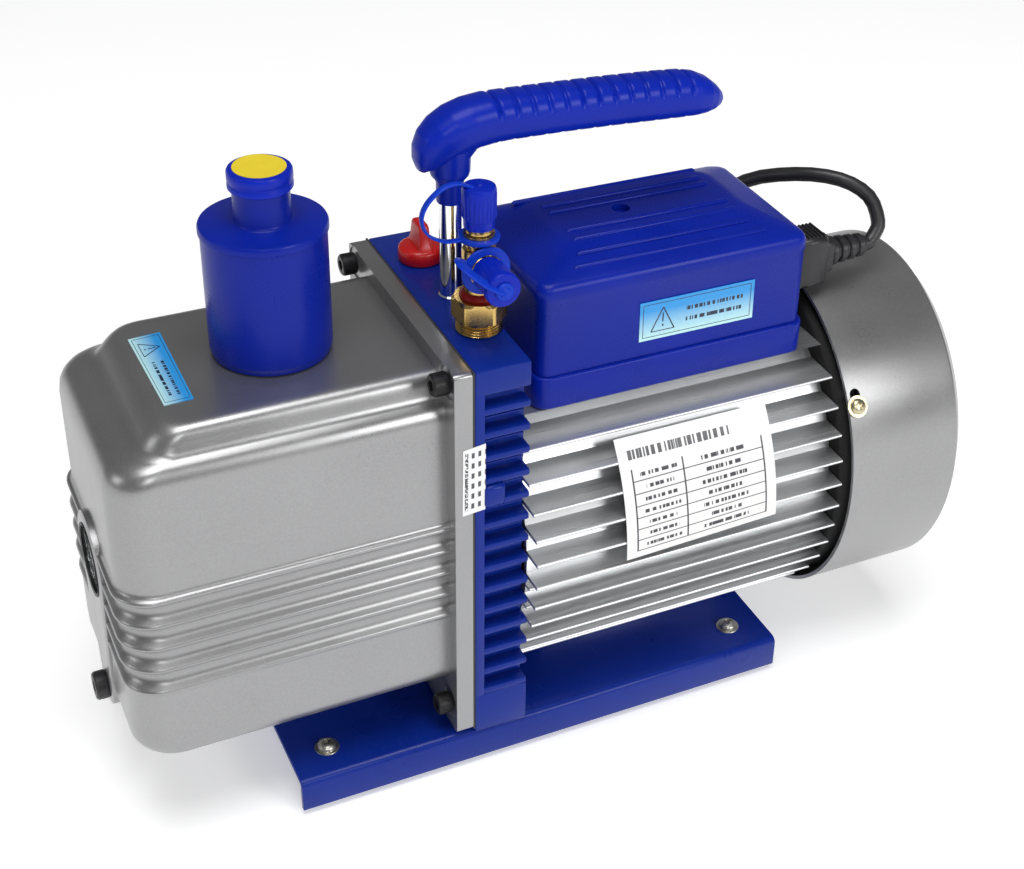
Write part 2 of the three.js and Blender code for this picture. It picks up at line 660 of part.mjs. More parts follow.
const laminations = tube(30, MOTOR.bore - GAP, 62, 138, 36);
const windings = tube(33, 49, 46, 154, 28);
part("stator_core", onShaft(join(laminations, windings)), paint.copper);
part("motor_rotor", onShaft(tube(SHAFT.thick + GAP, 29.4, 62, 138, 28)), paint.iron);
const shaftBar = turned(
  [
    [0, SHAFT.front],
    [SHAFT.thin, SHAFT.front],
    [SHAFT.thin, SHAFT.step],
    [SHAFT.thick, SHAFT.step],
    [SHAFT.thick, SHAFT.rear],
    [0, SHAFT.rear],
  ],
  20,
);
part("motor_shaft", onShaft(shaftBar), paint.steel);
const bearing = (x) => onShaft(tube(SHAFT.thick + GAP, BEARING.outer, x, x + BEARING.width));
part("front_bearing", bearing(BEARING.front), paint.steel);
part("rear_bearing", bearing(BEARING.rear), paint.steel);

const bellDisc = ovalSolid([
  [BELL.front, COVER.half - 3.4, COVER.rise - 3.4],
  [BELL.rear, COVER.half - 3.4, COVER.rise - 3.4],
]);
const bellHub = onShaft(rod(BEARING.outer + 5, BELL.front, BEARING.rear + BEARING.width, 28));
const bell = cut(
  join(bellDisc, bellHub),
  onShaft(rod(BEARING.outer + GAP, BEARING.rear - GAP, 200, 28)),
  onShaft(rod(SHAFT.thick + 1, 170, 200, 20)),
);
const COVER_SCREW_Z = SHAFT_Z + 42;
const screwY = finTip(COVER_SCREW_Z, COVER.half, COVER.rise);
// The cover screws stand square to the sheet, which leans back by this much from level.
const SCREW_LEAN = 33;
const placeScrew = (solid, side) =>
  solid
    .rotate([side * -QUARTER + side * SCREW_LEAN, 0, 0])
    .translate([181, side * screwY, COVER_SCREW_Z]);
const screwBore = rod(2.4, -14, 3, 12);
part("rear_end_bell", cut(bell, placeScrew(screwBore, -1), placeScrew(screwBore, 1)), paint.black);

const bladeThickness = 1.6;
const fanBlades = Array.from({ length: FAN.blades }, (_, i) =>
  block(FAN.front + 2, FAN.rear, 15, FAN.radius, -bladeThickness / 2, bladeThickness / 2).rotate([
    (360 * i) / FAN.blades,
    0,
    0,
  ]),
);
const fanHub = alongX(tube(SHAFT.thick + GAP, 18, FAN.front, FAN.rear));
const fanDisc = alongX(tube(16, FAN.radius - 4, FAN.front, FAN.front + 2.4, 32));
part("cooling_fan", at(join(fanHub, fanDisc, ...fanBlades), 0, 0, SHAFT_Z), paint.black);

// ---------------------------------------------------------------- fan cover
const coverSkin = (inset) => [
  [COVER.front - (inset ? 1 : 0), COVER.half - inset, COVER.rise - inset],
  [COVER.crease - 7, COVER.half - inset, COVER.rise - inset],
  [COVER.crease - 2.4 - inset, COVER.half - 1.8 - inset, COVER.rise - 1.8 - inset],
  [COVER.crease - inset, COVER.half - 5.5 - inset, COVER.rise - 5.5 - inset],
  [COVER.rear - 2 - inset, 48 - inset, 56 - inset],
  [COVER.rear - inset, 22, 26],
];
const GRILLE = { count: 9, pitch: 12, width: 5 };
const grilleSlots = Array.from({ length: GRILLE.count }, (_, i) => {
  const z = SHAFT_Z + (i - (GRILLE.count - 1) / 2) * GRILLE.pitch;
  const half = finTip(z, 52, 62);
  return [
    block(224, 240, 4, half, z - GRILLE.width / 2, z + GRILLE.width / 2),
    block(224, 240, -half, -4, z - GRILLE.width / 2, z + GRILLE.width / 2),
  ];
}).flat();
const coverSlot = (side) => {
  const wide = rod(2.6, -6, 6, 12);
  const slot = join(wide, wide.translate([0, -5.5, 0]), block(-2.6, 2.6, -5.5, 0, -6, 6));
  return placeScrew(side < 0 ? slot.rotate([0, 0, 180]) : slot, side);
};
const cover = cut(
  ovalSolid(coverSkin(0)),
  ovalSolid(coverSkin(COVER.wall)),
  ...grilleSlots,
  coverSlot(-1),
  coverSlot(1),
);
part("fan_cover", cover, paint.silver);
const coverScrew = turned(
  [
    [0, -12],
    [2, -12],
    [2, 0.5],
    [4.4, 0.5],
    [4.2, 1.8],
    [2.6, 2.9],
    [0, 3.1],
  ],
  12,
);
part("fan_cover_screw_left", placeScrew(coverScrew, -1), paint.steel);
part("fan_cover_screw_right", placeScrew(coverScrew, 1), paint.steel);

// ---------------------------------------------------------------- terminal box
const boxCentre = (BOX.near + BOX.far) / 2;
const boxHalf = (BOX.far - BOX.near) / 2;
const boxRing = (grow, radius, z) =>
  levelRing(BOX.front - grow, BOX.rear + grow, boxHalf + grow, radius, radius, z);
const boxBase = cut(
  join(
    cut(
      loft([boxRing(BOX.lip - 1, 6, BOX.floor), boxRing(BOX.lip, 6, BOX.floor + 1.5), boxRing(BOX.lip, 6, BOX.joint)]),
      loft([boxRing(-2, 4, BOX.floor + 2.6), boxRing(-2, 4, BOX.joint + 3)]),
    ),
    at(rod(4.4, BOX.floor + 1, 203, 16), LID.screwX, -boxCentre),
  ),
  at(rod(2.2, 196, 210, 12), LID.screwX, -boxCentre),
  at(rod(7, 150, 180, 12), 130, -boxCentre),
);
copyOf("terminal_box_base", boxBase, paint.gripBlue, 0, boxCentre, 0);

const lidRing = (grow, z, radius, ends = grow) =>
  levelRing(BOX.front - ends, BOX.rear + ends, boxHalf + grow, radius, radius, z);
const lidSkin = loft([
  lidRing(0, BOX.joint + GAP, 5),
  lidRing(0, LID.crease - 2, 5),
  lidRing(-1.4, LID.crease, 5),
  lidRing(-12, LID.plateau - 3, 8, -10),
  lidRing(-19, LID.plateau - 0.6, 8, -16),
  lidRing(-21.5, LID.plateau, 7, -18),
]);
const lidHollow = loft([
  lidRing(-LID.wall, BOX.joint - 2, 4),
  lidRing(-LID.wall, LID.crease - 4, 4),
  lidRing(-12, LID.plateau - 6, 7),
  lidRing(-21, LID.plateau - 3.4, 6),
]);
const lidRibs = [
  [17.6, 52, 139, 227.4],
  [10.6, 62, 137, LID.plateau],
  [6.6, 62, 138, LID.plateau],
  [-7.4, 62, 138, LID.plateau],
  [-14.4, 62, 137, LID.plateau],
  [-22.6, 56, 142, 226.4],
  [-29, 54, 150, 224.3],
].map(([y, x0, x1, z]) => block(x0, x1, y - 0.9, y + 0.9, z - 2, z + 0.8));
const panelWindow = block(
  BOX.rear - 8,
  BOX.rear + 4,
  INLET_PANEL.near + 2 - boxCentre,
  INLET_PANEL.far - 2 - boxCentre,
  INLET_PANEL.bottom + 2,
  INLET_PANEL.top - 2,
);
const lidBoss = at(rod(6, 204, LID.plateau - 1, 16), LID.screwX, -boxCentre);
const lid = cut(
  join(cut(lidSkin, lidHollow, panelWindow), lidBoss, ...lidRibs),
  at(rod(2.3, 200, 230, 12), LID.screwX, -boxCentre),
  at(rod(4.3, LID.plateau - 5, 232, 16), LID.screwX, -boxCentre),
);
copyOf("terminal_box_cover", lid, paint.gripBlue, 0, boxCentre, 0);
const lidScrew = turned(
  [
    [0, 198],
    [1.9, 198],
    [1.9, LID.plateau - 4.6],
    [3.8, LID.plateau - 4.6],
    [3.6, LID.plateau - 2.6],
    [0, LID.plateau - 2.2],
  ],
  12,
);
copyOf("terminal_cover_screw", lidScrew, paint.gripBlue, LID.screwX, 0, 0);

const CAPACITOR = { radius: 13.5, x: [58, 118], y: -21, z: 182 };
const can = alongX(rod(CAPACITOR.radius, ...CAPACITOR.x, 20));
copyOf("run_capacitor", can, paint.silver, 0, CAPACITOR.y, CAPACITOR.z);

// ---------------------------------------------------------------- mains inlet, switch and lead
const panelPlate = block(
  BOX.rear + GAP,
  INLET_PANEL.rear,
  INLET_PANEL.near,
  INLET_PANEL.far,
  INLET_PANEL.bottom,
  INLET_PANEL.top,
);
const panelBody = block(
  BOX.rear - 16,
  BOX.rear + 1,
  INLET_PANEL.near + 2.4,
  INLET_PANEL.far - 2.4,
  INLET_PANEL.bottom + 2.4,
  INLET_PANEL.top - 2.4,
);
const { y: plugY, z: plugZ, half: plugHalf, rise: plugRise } = PLUG_IN;
const socketHole = block(
  BOX.rear - 13,
  BOX.rear + 6,
  plugY - plugHalf - 0.4,
  plugY + plugHalf + 0.4,
  plugZ - plugRise - 0.4,
  plugZ + plugRise + 0.4,
);
const rockerPocket = block(
  SWITCH.x - 7,
  BOX.rear + 6,
  SWITCH.y - 6.8,
  SWITCH.y + 6.8,
  SWITCH.z - 10.6,
  SWITCH.z + 10.6,
);
part("power_inlet", cut(join(panelPlate, panelBody), socketHole, rockerPocket), paint.black);

const rocker = block(-3, 5.4, -6.4, 6.4, -8.6, 8.6).rotate([0, SWITCH.tilt, 0]);
copyOf("power_switch_rocker", rocker, paint.red, SWITCH.x, SWITCH.y, SWITCH.z);

const connectorBlock = (x0, x1, half, rise) =>
  block(x0, x1, plugY - half, plugY + half, plugZ - rise, plugZ + rise);
const reliefRings = [188, 192.6, 197.2, 201.8].map((x) =>
  at(alongX(rod(5.6, x, x + 2.8, 14)), 0, plugY, plugZ),
);
const connector = join(
  connectorBlock(150, 170, plugHalf - 0.2, plugRise - 0.2),
  connectorBlock(169, 183, plugHalf + 0.6, plugRise + 0.4),
  connectorBlock(182, 187, plugHalf - 2, plugRise - 4),
  at(alongX(rod(4.5, 186, 206, 14)), 0, plugY, plugZ),
  ...reliefRings,
);
part("power_cord_connector", connector, paint.black);

const coilOuter = CORD.coilRadius + CORD.turnsWide * CORD.radius;
const coilInner = CORD.coilRadius - CORD.turnsWide * CORD.radius;
const coilTop = 2 * CORD.radius * CORD.turnsHigh;
const [coilX, coilY] = CORD.coil;
const besideCoil = coilOuter + CORD.radius + GAP;
const cordRun = bar(
  [
    [206.5, plugY, plugZ],
    [209.5, plugY, plugZ],
    [213.5, plugY + 1.5, 199.5],
    [216.5, plugY + 4, 204],
    [215.5, plugY + 12, 213],
    [206, plugY + 22, 218.5],
    [192, 20, 217],
    [178, 40, 207],
    [168, 58, 186],
    [163, 71, 155],
    [160, 79, 118],
    [157, 84, 80],
    [154, 88, 42],
    [150.5, 94, 14],
    [coilX + besideCoil + 3, 106, CORD.radius + 0.6],
    [coilX + besideCoil + 0.6, 120, CORD.radius + 0.4],
    [coilX + besideCoil, coilY, CORD.radius + 0.4],
  ],
  CORD.radius,
  8,
  52,
);
part("cord_run", cordRun, paint.black);
const coil = tube(coilInner, coilOuter, 0.2, coilTop + 0.2, 40);
copyOf("cord_coil", coil, paint.black, coilX, coilY, 0);

const PLUG = { radius: 18.6, pin: 2.4, pinLength: 19, pinGap: 9.5, tailX: 40 };
const plugAxisZ = PLUG.radius + 0.3;
const tailY = coilY + besideCoil;
const plugBody = turned(
  [
    [0, -34],
    [PLUG.radius, -34],
    [PLUG.radius, -14],
    [13, -8],
    [7, 8],
    [5, 22],
    [0, 22],
  ],
  20,
);
const pins = [-1, 1].map((side) => at(rod(PLUG.pin, -34 - PLUG.pinLength, -30, 12), 0, side * PLUG.pinGap));
const plugOnSide = alongX(join(plugBody, ...pins)).translate([PLUG.tailX - 22, tailY, plugAxisZ]);
const plugTail = bar(
  [
    [PLUG.tailX - 2, tailY, plugAxisZ],
    [PLUG.tailX + 10, tailY, plugAxisZ - 4],
    [PLUG.tailX + 26, tailY, CORD.radius + 2.2],
    [coilX - 12, tailY, CORD.radius + 0.3],
    [coilX, tailY, CORD.radius + 0.3],
  ],
  CORD.radius,
  10,
  18,
);
part("cord_plug", join(plugOnSide, plugTail), paint.black);

// ---------------------------------------------------------------- centre the assembly on its origin
const CORD_PIECES = ["power_cord_connector", "cord_run", "cord_coil", "cord_plug"];
const extent = new THREE.Box3();
assembly.children
  .filter((mesh) => !CORD_PIECES.includes(mesh.name))
  .forEach((mesh) => extent.expandByObject(mesh));
assembly.position.x = -(extent.min.x + extent.max.x) / 2;

export default assembly;
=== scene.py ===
"""Builds the finished look of a two-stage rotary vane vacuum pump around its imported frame."""

from math import cos, pi, radians, sin, sqrt

import bmesh
import bpy
from mathutils import Matrix, Vector


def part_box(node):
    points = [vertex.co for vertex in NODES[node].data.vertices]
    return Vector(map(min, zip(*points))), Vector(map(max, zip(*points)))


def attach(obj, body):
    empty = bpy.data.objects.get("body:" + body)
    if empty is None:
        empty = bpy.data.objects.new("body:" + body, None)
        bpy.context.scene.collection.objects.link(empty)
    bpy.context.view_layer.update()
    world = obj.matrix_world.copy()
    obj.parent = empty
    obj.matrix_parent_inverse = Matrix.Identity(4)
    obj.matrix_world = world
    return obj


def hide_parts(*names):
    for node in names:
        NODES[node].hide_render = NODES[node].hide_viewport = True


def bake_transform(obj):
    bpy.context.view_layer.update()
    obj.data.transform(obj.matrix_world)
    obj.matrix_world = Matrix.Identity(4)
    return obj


bl_info = {
    "name": "Rotary Vane Vacuum Pump",
    "version": (1, 0, 0),
    "blender": (4, 5, 0),
    "location": "View3D > Sidebar > Vacuum Pump",
    "description": "Builds the visible pieces of a two-stage rotary vane vacuum pump",
    "category": "Add Mesh",
}

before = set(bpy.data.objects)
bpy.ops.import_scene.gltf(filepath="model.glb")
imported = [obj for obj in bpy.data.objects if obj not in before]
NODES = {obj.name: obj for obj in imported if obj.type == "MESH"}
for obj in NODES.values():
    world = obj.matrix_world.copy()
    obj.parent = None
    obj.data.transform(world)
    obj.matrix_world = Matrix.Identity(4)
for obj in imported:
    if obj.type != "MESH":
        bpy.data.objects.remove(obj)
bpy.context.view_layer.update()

# Stations are millimetres: x from the flange's rear face along the shaft, y across, z from the floor.
ORIGIN_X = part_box("oil_case")[1].x
MM = 0.001
_shaft_low, _shaft_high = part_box("motor_shaft")
SHAFT_Z = (_shaft_low.z + _shaft_high.z) / 2 / MM


def place(x, y, z):
    """A point in metres, in the frame's axes, from millimetre stations."""
    return Vector((ORIGIN_X + x * MM, y * MM, z * MM))


def station(node):
    """The lowest and highest stations of a CAD node, in millimetres."""
    low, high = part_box(node)
    return [Vector(((p.x - ORIGIN_X) / MM, p.y / MM, p.z / MM)) for p in (low, high)]


def mm(metres):
    """A length property's value in millimetre stations."""
    return metres / MM


# ---------------------------------------------------------------- meshes
def new_object(name, vertices, faces, finish, sharp=35):
    """A mesh object from millimetre stations, smooth apart from edges sharper than the given angle."""
    mesh = bpy.data.meshes.new(name)
    mesh.from_pydata([place(*v) for v in vertices], [], faces)
    b = bmesh.new()
    b.from_mesh(mesh)
    bmesh.ops.remove_doubles(b, verts=b.verts, dist=1e-7)
    bmesh.ops.recalc_face_normals(b, faces=b.faces)
    b.to_mesh(mesh)
    b.free()
    return wrap_mesh(name, mesh, finish, sharp)


def wrap_mesh(name, mesh, finish, sharp=35):
    """An object for a mesh, linked into the scene, with its finish and its shading."""
    obj = bpy.data.objects.new(name, mesh)
    bpy.context.scene.collection.objects.link(obj)
    if finish is not None:
        mesh.materials.clear()
        mesh.materials.append(finish)
    for polygon in mesh.polygons:
        polygon.use_smooth = True
    mesh.set_sharp_from_angle(angle=radians(sharp))
    return obj


def settle(obj):
    """Applies every modifier, so the piece is a plain mesh."""
    bpy.context.view_layer.update()
    evaluated = obj.evaluated_get(bpy.context.evaluated_depsgraph_get())
    mesh = bpy.data.meshes.new_from_object(evaluated)
    obj.modifiers.clear()
    obj.data = mesh
    return obj


def soften(obj, width, segments=2, angle=35):
    """Rounds the edges sharper than an angle, by a width in millimetres."""
    bevel = obj.modifiers.new("Soft edges", "BEVEL")
    bevel.width = width * MM
    bevel.segments = segments
    bevel.limit_method = "ANGLE"
    bevel.angle_limit = radians(angle)
    bevel.use_clamp_overlap = True
    settle(obj)
    for polygon in obj.data.polygons:
        polygon.use_smooth = True
    obj.data.set_sharp_from_angle(angle=radians(50))
    return obj


def carve(obj, cutters, sharp=35):
    """Cuts the cutters out of a piece and removes them."""
    for cutter in cutters:
        boolean = obj.modifiers.new("Cut", "BOOLEAN")
        boolean.operation = "DIFFERENCE"
        boolean.solver = "EXACT"
        boolean.object = cutter
    settle(obj)
    for cutter in cutters:
        bpy.data.objects.remove(cutter)
    for polygon in obj.data.polygons:
        polygon.use_smooth = True
    obj.data.set_sharp_from_angle(angle=radians(sharp))
    return obj


def merge(name, *pieces):
    """Joins several pieces into one object, keeping each one's finish."""
    joined = bmesh.new()
    materials = []
    for piece in pieces:
        mesh = piece.data.copy()
        slots = []
        for material in mesh.materials:
            if material not in materials:
                materials.append(material)
            slots.append(materials.index(material))
        for polygon in mesh.polygons:
            polygon.material_index = slots[polygon.material_index] if slots else 0
        joined.from_mesh(mesh)
        bpy.data.meshes.remove(mesh)
    mesh = bpy.data.meshes.new(name)
    joined.to_mesh(mesh)
    joined.free()
    for material in materials:
        mesh.materials.append(material)
    for piece in pieces:
        bpy.data.objects.remove(piece)
    obj = bpy.data.objects.new(name, mesh)
    bpy.context.scene.collection.objects.link(obj)
    return obj


def skin(rings, closed_path=False):
    """Vertices and faces of a closed skin over rings that hold the same number of points."""
    count = len(rings[0])
    vertices = [p for ring in rings for p in ring]
    faces = []
    spans = len(rings) if closed_path else len(rings) - 1
    for i in range(spans):
        a, b = i * count, ((i + 1) % len(rings)) * count
        for j in range(count):
            k = (j + 1) % count
            faces.append((a + j, a + k, b + k, b + j))
    if not closed_path:
        faces.append(tuple(reversed(range(count))))
        faces.append(tuple(range(len(vertices) - count, len(vertices))))
    return vertices, faces


def arc(cx, cy, radius, start, end, steps):
    """Points on an arc, in degrees, both ends included."""
    span = radians(end - start)
    return [
        (cx + radius * cos(radians(start) + span * i / steps), cy + radius * sin(radians(start) + span * i / steps))
        for i in range(steps + 1)
    ]


def rounded_box(x0, x1, y0, y1, r0, r1, steps=8):
    """A level outline with corner radii r0 at x0 and r1 at x1."""
    return (
        arc(x0 + r0, y0 + r0, r0, 180, 270, steps)
        + arc(x1 - r1, y0 + r1, r1, 270, 360, steps)
        + arc(x1 - r1, y1 - r1, r1, 0, 90, steps)
        + arc(x0 + r0, y1 - r0, r0, 90, 180, steps)
    )


def block(name, x, y, z, finish, edge=0.4):
    """A box between two stations a side, with softened edges."""
    outline = [(y[0], z[0]), (y[1], z[0]), (y[1], z[1]), (y[0], z[1])]
    rings = [[(s, a, b) for a, b in outline] for s in x]
    obj = new_object(name, *skin(rings), finish)
    return soften(obj, edge) if edge else obj


def turned(name, profile, finish, centre=(0, 0, 0), axis="Z", sides=64, sharp=35):
    """A turned piece from (radius, height) pairs about an axis through a centre."""
    rings = []
    closed = profile[0][0] > 0 or profile[-1][0] > 0
    for radius, height in profile:
        ring = []
        for i in range(sides):
            a = 2 * pi * i / sides
            u, v = max(radius, 1e-4) * cos(a), max(radius, 1e-4) * sin(a)
            offset = {"Z": (u, v, height), "X": (height, u, v), "-Y": (u, -height, v)}[axis]
            ring.append(tuple(c + o for c, o in zip(centre, offset)))
        rings.append(ring)
    vertices, faces = skin(rings, closed_path=closed)
    return new_object(name, vertices, faces, finish, sharp)


def smooth_path(points, steps):
    """Points along a Catmull-Rom curve through the given points."""
    pts = [Vector(p) for p in points]
    ends = [2 * pts[0] - pts[1], *pts, 2 * pts[-1] - pts[-2]]
    result = []
    for i in range(len(pts) - 1):
        p0, p1, p2, p3 = ends[i : i + 4]
        for s in range(steps):
            t = s / steps
            result.append(
                0.5 * (2 * p1 + (p2 - p0) * t + (2 * p0 - 5 * p1 + 4 * p2 - p3) * t**2 + (3 * p1 - p0 - 3 * p2 + p3) * t**3)
            )
    result.append(pts[-1])
    return result


def rod_along(name, points, section, finish, sharp=50):
    """A bar along points whose section is a function of the share of the way, giving (side, up) pairs."""
    pts = [Vector(p) for p in points]
    side = None
    rings = []
    for i, p in enumerate(pts):
        ahead = (pts[min(i + 1, len(pts) - 1)] - pts[max(i - 1, 0)]).normalized()
        if side is None:
            reference = Vector((0, 0, 1)) if abs(ahead.z) < 0.9 else Vector((0, 1, 0))
            side = ahead.cross(reference).normalized()
        side = (side - ahead * side.dot(ahead)).normalized()
        up = side.cross(ahead)
        rings.append([tuple(p + side * a + up * b) for a, b in section(i / (len(pts) - 1))])
    return new_object(name, *skin(rings), finish, sharp)


def circle(radius, sides=16):
    return [(radius * cos(2 * pi * i / sides), radius * sin(2 * pi * i / sides)) for i in range(sides)]


def flat_bar(half_width, half_thick, steps=4):
    """A strap's section with rounded edges."""
    r = half_thick
    right = arc(half_width - r, 0, r, -90, 90, steps)
    left = arc(-half_width + r, 0, r, 90, 270, steps)
    return right + left


# ---------------------------------------------------------------- what repeats, by Geometry Nodes
def socket_ids(tree):
    return {i.name: i.identifier for i in tree.interface.items_tree if i.in_out == "INPUT"}


def begin_tree(name, inputs):
    """A Geometry Nodes tree with named inputs, its input node and a helper that adds linked nodes."""
    tree = bpy.data.node_groups.new(name, "GeometryNodeTree")
    for label, kind, default in inputs:
        item = tree.interface.new_socket(label, in_out="INPUT", socket_type=kind)
        if default is not None:
            item.default_value = default
    tree.interface.new_socket("Geometry", in_out="OUTPUT", socket_type="NodeSocketGeometry")
    start = tree.nodes.new("NodeGroupInput")

    def add(kind, settings=None, **links):
        node = tree.nodes.new(kind)
        for key, value in (settings or {}).items():
            setattr(node, key, value)
        for key, value in links.items():
            target = next(s for s in node.inputs if s.name.replace(" ", "_") == key and s.enabled)
            if isinstance(value, bpy.types.NodeSocket):
                tree.links.new(value, target)
            else:
                target.default_value = value
        return node

    return tree, start, add


def finish_tree(tree, start, add, geometry):
    """Ends a tree in Realize Instances and Set Material."""
    real = add("GeometryNodeRealizeInstances", Geometry=geometry)
    painted = add("GeometryNodeSetMaterial", Geometry=real.outputs[0], Material=start.outputs["Finish"])
    end = tree.nodes.new("NodeGroupOutput")
    tree.links.new(painted.outputs[0], end.inputs[0])
    return tree


def placed_copies_tree():
    """Copies of one piece on given points, each turned by the point's own attribute."""
    tree, start, add = begin_tree(
        "Placed copies",
        [
            ("Points", "NodeSocketGeometry", None),
            ("Piece", "NodeSocketObject", None),
            ("Size", "NodeSocketFloat", 1.0),
            ("Finish", "NodeSocketMaterial", None),
        ],
    )
    piece = add("GeometryNodeObjectInfo", {"transform_space": "ORIGINAL"}, Object=start.outputs["Piece"])
    turn = add("GeometryNodeInputNamedAttribute", {"data_type": "FLOAT_VECTOR"}, Name="turn")
    copies = add(
        "GeometryNodeInstanceOnPoints",
        Points=start.outputs["Points"],
        Instance=piece.outputs["Geometry"],
        Rotation=turn.outputs[0],
        Scale=start.outputs["Size"],
    )
    return finish_tree(tree, start, add, copies.outputs[0])


def row_tree():
    """A row of copies of one piece, a pitch apart."""
    tree, start, add = begin_tree(
        "Row of copies",
        [
            ("Geometry", "NodeSocketGeometry", None),
            ("Piece", "NodeSocketObject", None),
            ("Count", "NodeSocketInt", 8),
            ("Pitch", "NodeSocketVector", (0.0, 0.0, 0.01)),
            ("Finish", "NodeSocketMaterial", None),
        ],
    )
    line = add("GeometryNodeMeshLine", Count=start.outputs["Count"], Offset=start.outputs["Pitch"])
    piece = add("GeometryNodeObjectInfo", {"transform_space": "ORIGINAL"}, Object=start.outputs["Piece"])
    copies = add("GeometryNodeInstanceOnPoints", Points=line.outputs[0], Instance=piece.outputs["Geometry"])
    return finish_tree(tree, start, add, copies.outputs[0])


TREES = {}


def run_tree(name, make, host, finish, **inputs):
    """Runs a tree on a host object and turns the result into a plain mesh piece."""
    if make.__name__ not in TREES:
        TREES[make.__name__] = make()
    tree = TREES[make.__name__]
    modifier = host.modifiers.new(tree.name, "NODES")
    modifier.node_group = tree
    ids = socket_ids(tree)
    for label, value in {**inputs, "Finish": finish}.items():
        modifier[ids[label]] = value
    bpy.context.view_layer.update()
    evaluated = host.evaluated_get(bpy.context.evaluated_depsgraph_get())
    mesh = bpy.data.meshes.new_from_object(evaluated)
    mesh.name = name
    bpy.data.objects.remove(host)
    return wrap_mesh(name, mesh, finish, 40)


def copies_at(name, piece, places, finish, turns=None):
    """Copies of a piece, which is modelled at the frame's origin, at millimetre stations."""
    host_mesh = bpy.data.meshes.new(name + "_points")
    host_mesh.from_pydata([place(*p) for p in places], [], [])
    attribute = host_mesh.attributes.new("turn", "FLOAT_VECTOR", "POINT")
    for i, turn in enumerate(turns or [(0, 0, 0)] * len(places)):
        attribute.data[i].vector = turn
    host = bpy.data.objects.new(name + "_points", host_mesh)
    bpy.context.scene.collection.objects.link(host)
    result = run_tree(name, placed_copies_tree, host, finish, Piece=piece)
    bpy.data.objects.remove(piece)
    return result


def row_of(name, piece, count, pitch, finish):
    """A row of copies of a piece in place, a millimetre pitch vector apart."""
    host = bpy.data.objects.new(name + "_row", bpy.data.meshes.new(name + "_row"))
    bpy.context.scene.collection.objects.link(host)
    step = Vector(pitch) * MM
    result = run_tree(name, row_tree, host, finish, Piece=piece, Count=count, Pitch=step)
    bpy.data.objects.remove(piece)
    return result


def at_origin(obj):
    """Moves a small part modelled about station zero to the frame's origin, ready for copying."""
    obj.data.transform(Matrix.Translation(-place(0, 0, 0)))
    return obj


# ---------------------------------------------------------------- shader maths
class Value:
    """One shader socket that takes part in Python expressions."""

    def __init__(self, finish, socket):
        self.finish = finish
        self.socket = socket

    def maths(self, operation, *others):
        return self.finish.add("ShaderNodeMath", {"operation": operation}, self, *others)

    def __add__(self, other):
        return self.maths("ADD", other)

    def __sub__(self, other):
        return self.maths("SUBTRACT", other)

    def __rsub__(self, other):
        return self.finish.add("ShaderNodeMath", {"operation": "SUBTRACT"}, other, self)

    def __mul__(self, other):
        return self.maths("MULTIPLY", other)

    def __truediv__(self, other):
        return self.maths("DIVIDE", other)

    def __gt__(self, other):
        return self.maths("GREATER_THAN", other)

    def __lt__(self, other):
        return self.maths("LESS_THAN", other)

    __radd__ = __add__
    __rmul__ = __mul__

    def fraction(self):
        return self.maths("FRACT")

    def size(self):
        return self.maths("ABSOLUTE")

    def between(self, low, high):
        """One from low to high, and nothing outside."""
        return (self > low) * (self < high)


class Finish:
    """Builds one material around its Principled shader."""

    def __init__(self, name, color, roughness, metallic=0.0, **fixed):
        self.material = bpy.data.materials.new(name)
        self.material.use_nodes = True
        self.nodes = self.material.node_tree.nodes
        self.links = self.material.node_tree.links
        self.shader = self.nodes["Principled BSDF"]
        self.set("Base Color", (*color, 1.0))
        self.set("Roughness", roughness)
        self.set("Metallic", metallic)
        for key, value in fixed.items():
            self.set(key.replace("_", " "), value)
        self.material.diffuse_color = (*color, 1.0)

    def set(self, name, value):
        target = self.shader.inputs[name]
        if isinstance(value, Value):
            self.links.new(value.socket, target)
        else:
            target.default_value = value

    def add(self, kind, settings, *inputs, output=0, **named):
        """A node with its settings made first, then its inputs in order or by name."""
        node = self.nodes.new(kind)
        for key, value in settings.items():
            setattr(node, key, value)
        targets = [(node.inputs[i], v) for i, v in enumerate(inputs)]
        targets += [(node.inputs[k.replace("_", " ")], v) for k, v in named.items()]
        for target, value in targets:
            if isinstance(value, Value):
                self.links.new(value.socket, target)
            elif value is not None:
                target.default_value = value
        return Value(self, node.outputs[output])

    def object_point(self, scale=(1, 1, 1)):
        point = self.add("ShaderNodeTexCoord", {}, output=3)
        return self.add("ShaderNodeMapping", {"vector_type": "POINT"}, Vector=point, Scale=scale)

    def noise(self, size, scale=(1, 1, 1), detail=3.0, roughness=0.5):
        """Noise whose blotches are about the given size in millimetres."""
        return self.add(
            "ShaderNodeTexNoise", {}, Vector=self.object_point(scale), Scale=1 / (size * MM), Detail=detail,
            Roughness=roughness,
        )

    def cells(self, size):
        return self.add("ShaderNodeTexVoronoi", {}, Vector=self.object_point(), Scale=1 / (size * MM))

    def ramp(self, value, low, high, start=0.0, end=1.0):
        """Carries a value from start..end to low..high."""
        return self.add("ShaderNodeMapRange", {}, value, start, end, low, high)

    def blend(self, mask, first, second):
        """A colour that goes from first to second with the mask."""
        node = self.nodes.new("ShaderNodeMix")
        node.data_type = "RGBA"
        for target, value in ((node.inputs[0], mask), (node.inputs[6], first), (node.inputs[7], second)):
            if isinstance(value, Value):
                self.links.new(value.socket, target)
            elif isinstance(value, (int, float)):
                target.default_value = value
            else:
                target.default_value = (*value, 1.0)
        return Value(self, node.outputs[2])

    def bump(self, height, depth, strength=1.0):
        """Relief of a depth in millimetres."""
        normal = self.add("ShaderNodeBump", {}, Strength=strength, Distance=depth * MM, Height=height)
        self.set("Normal", normal)


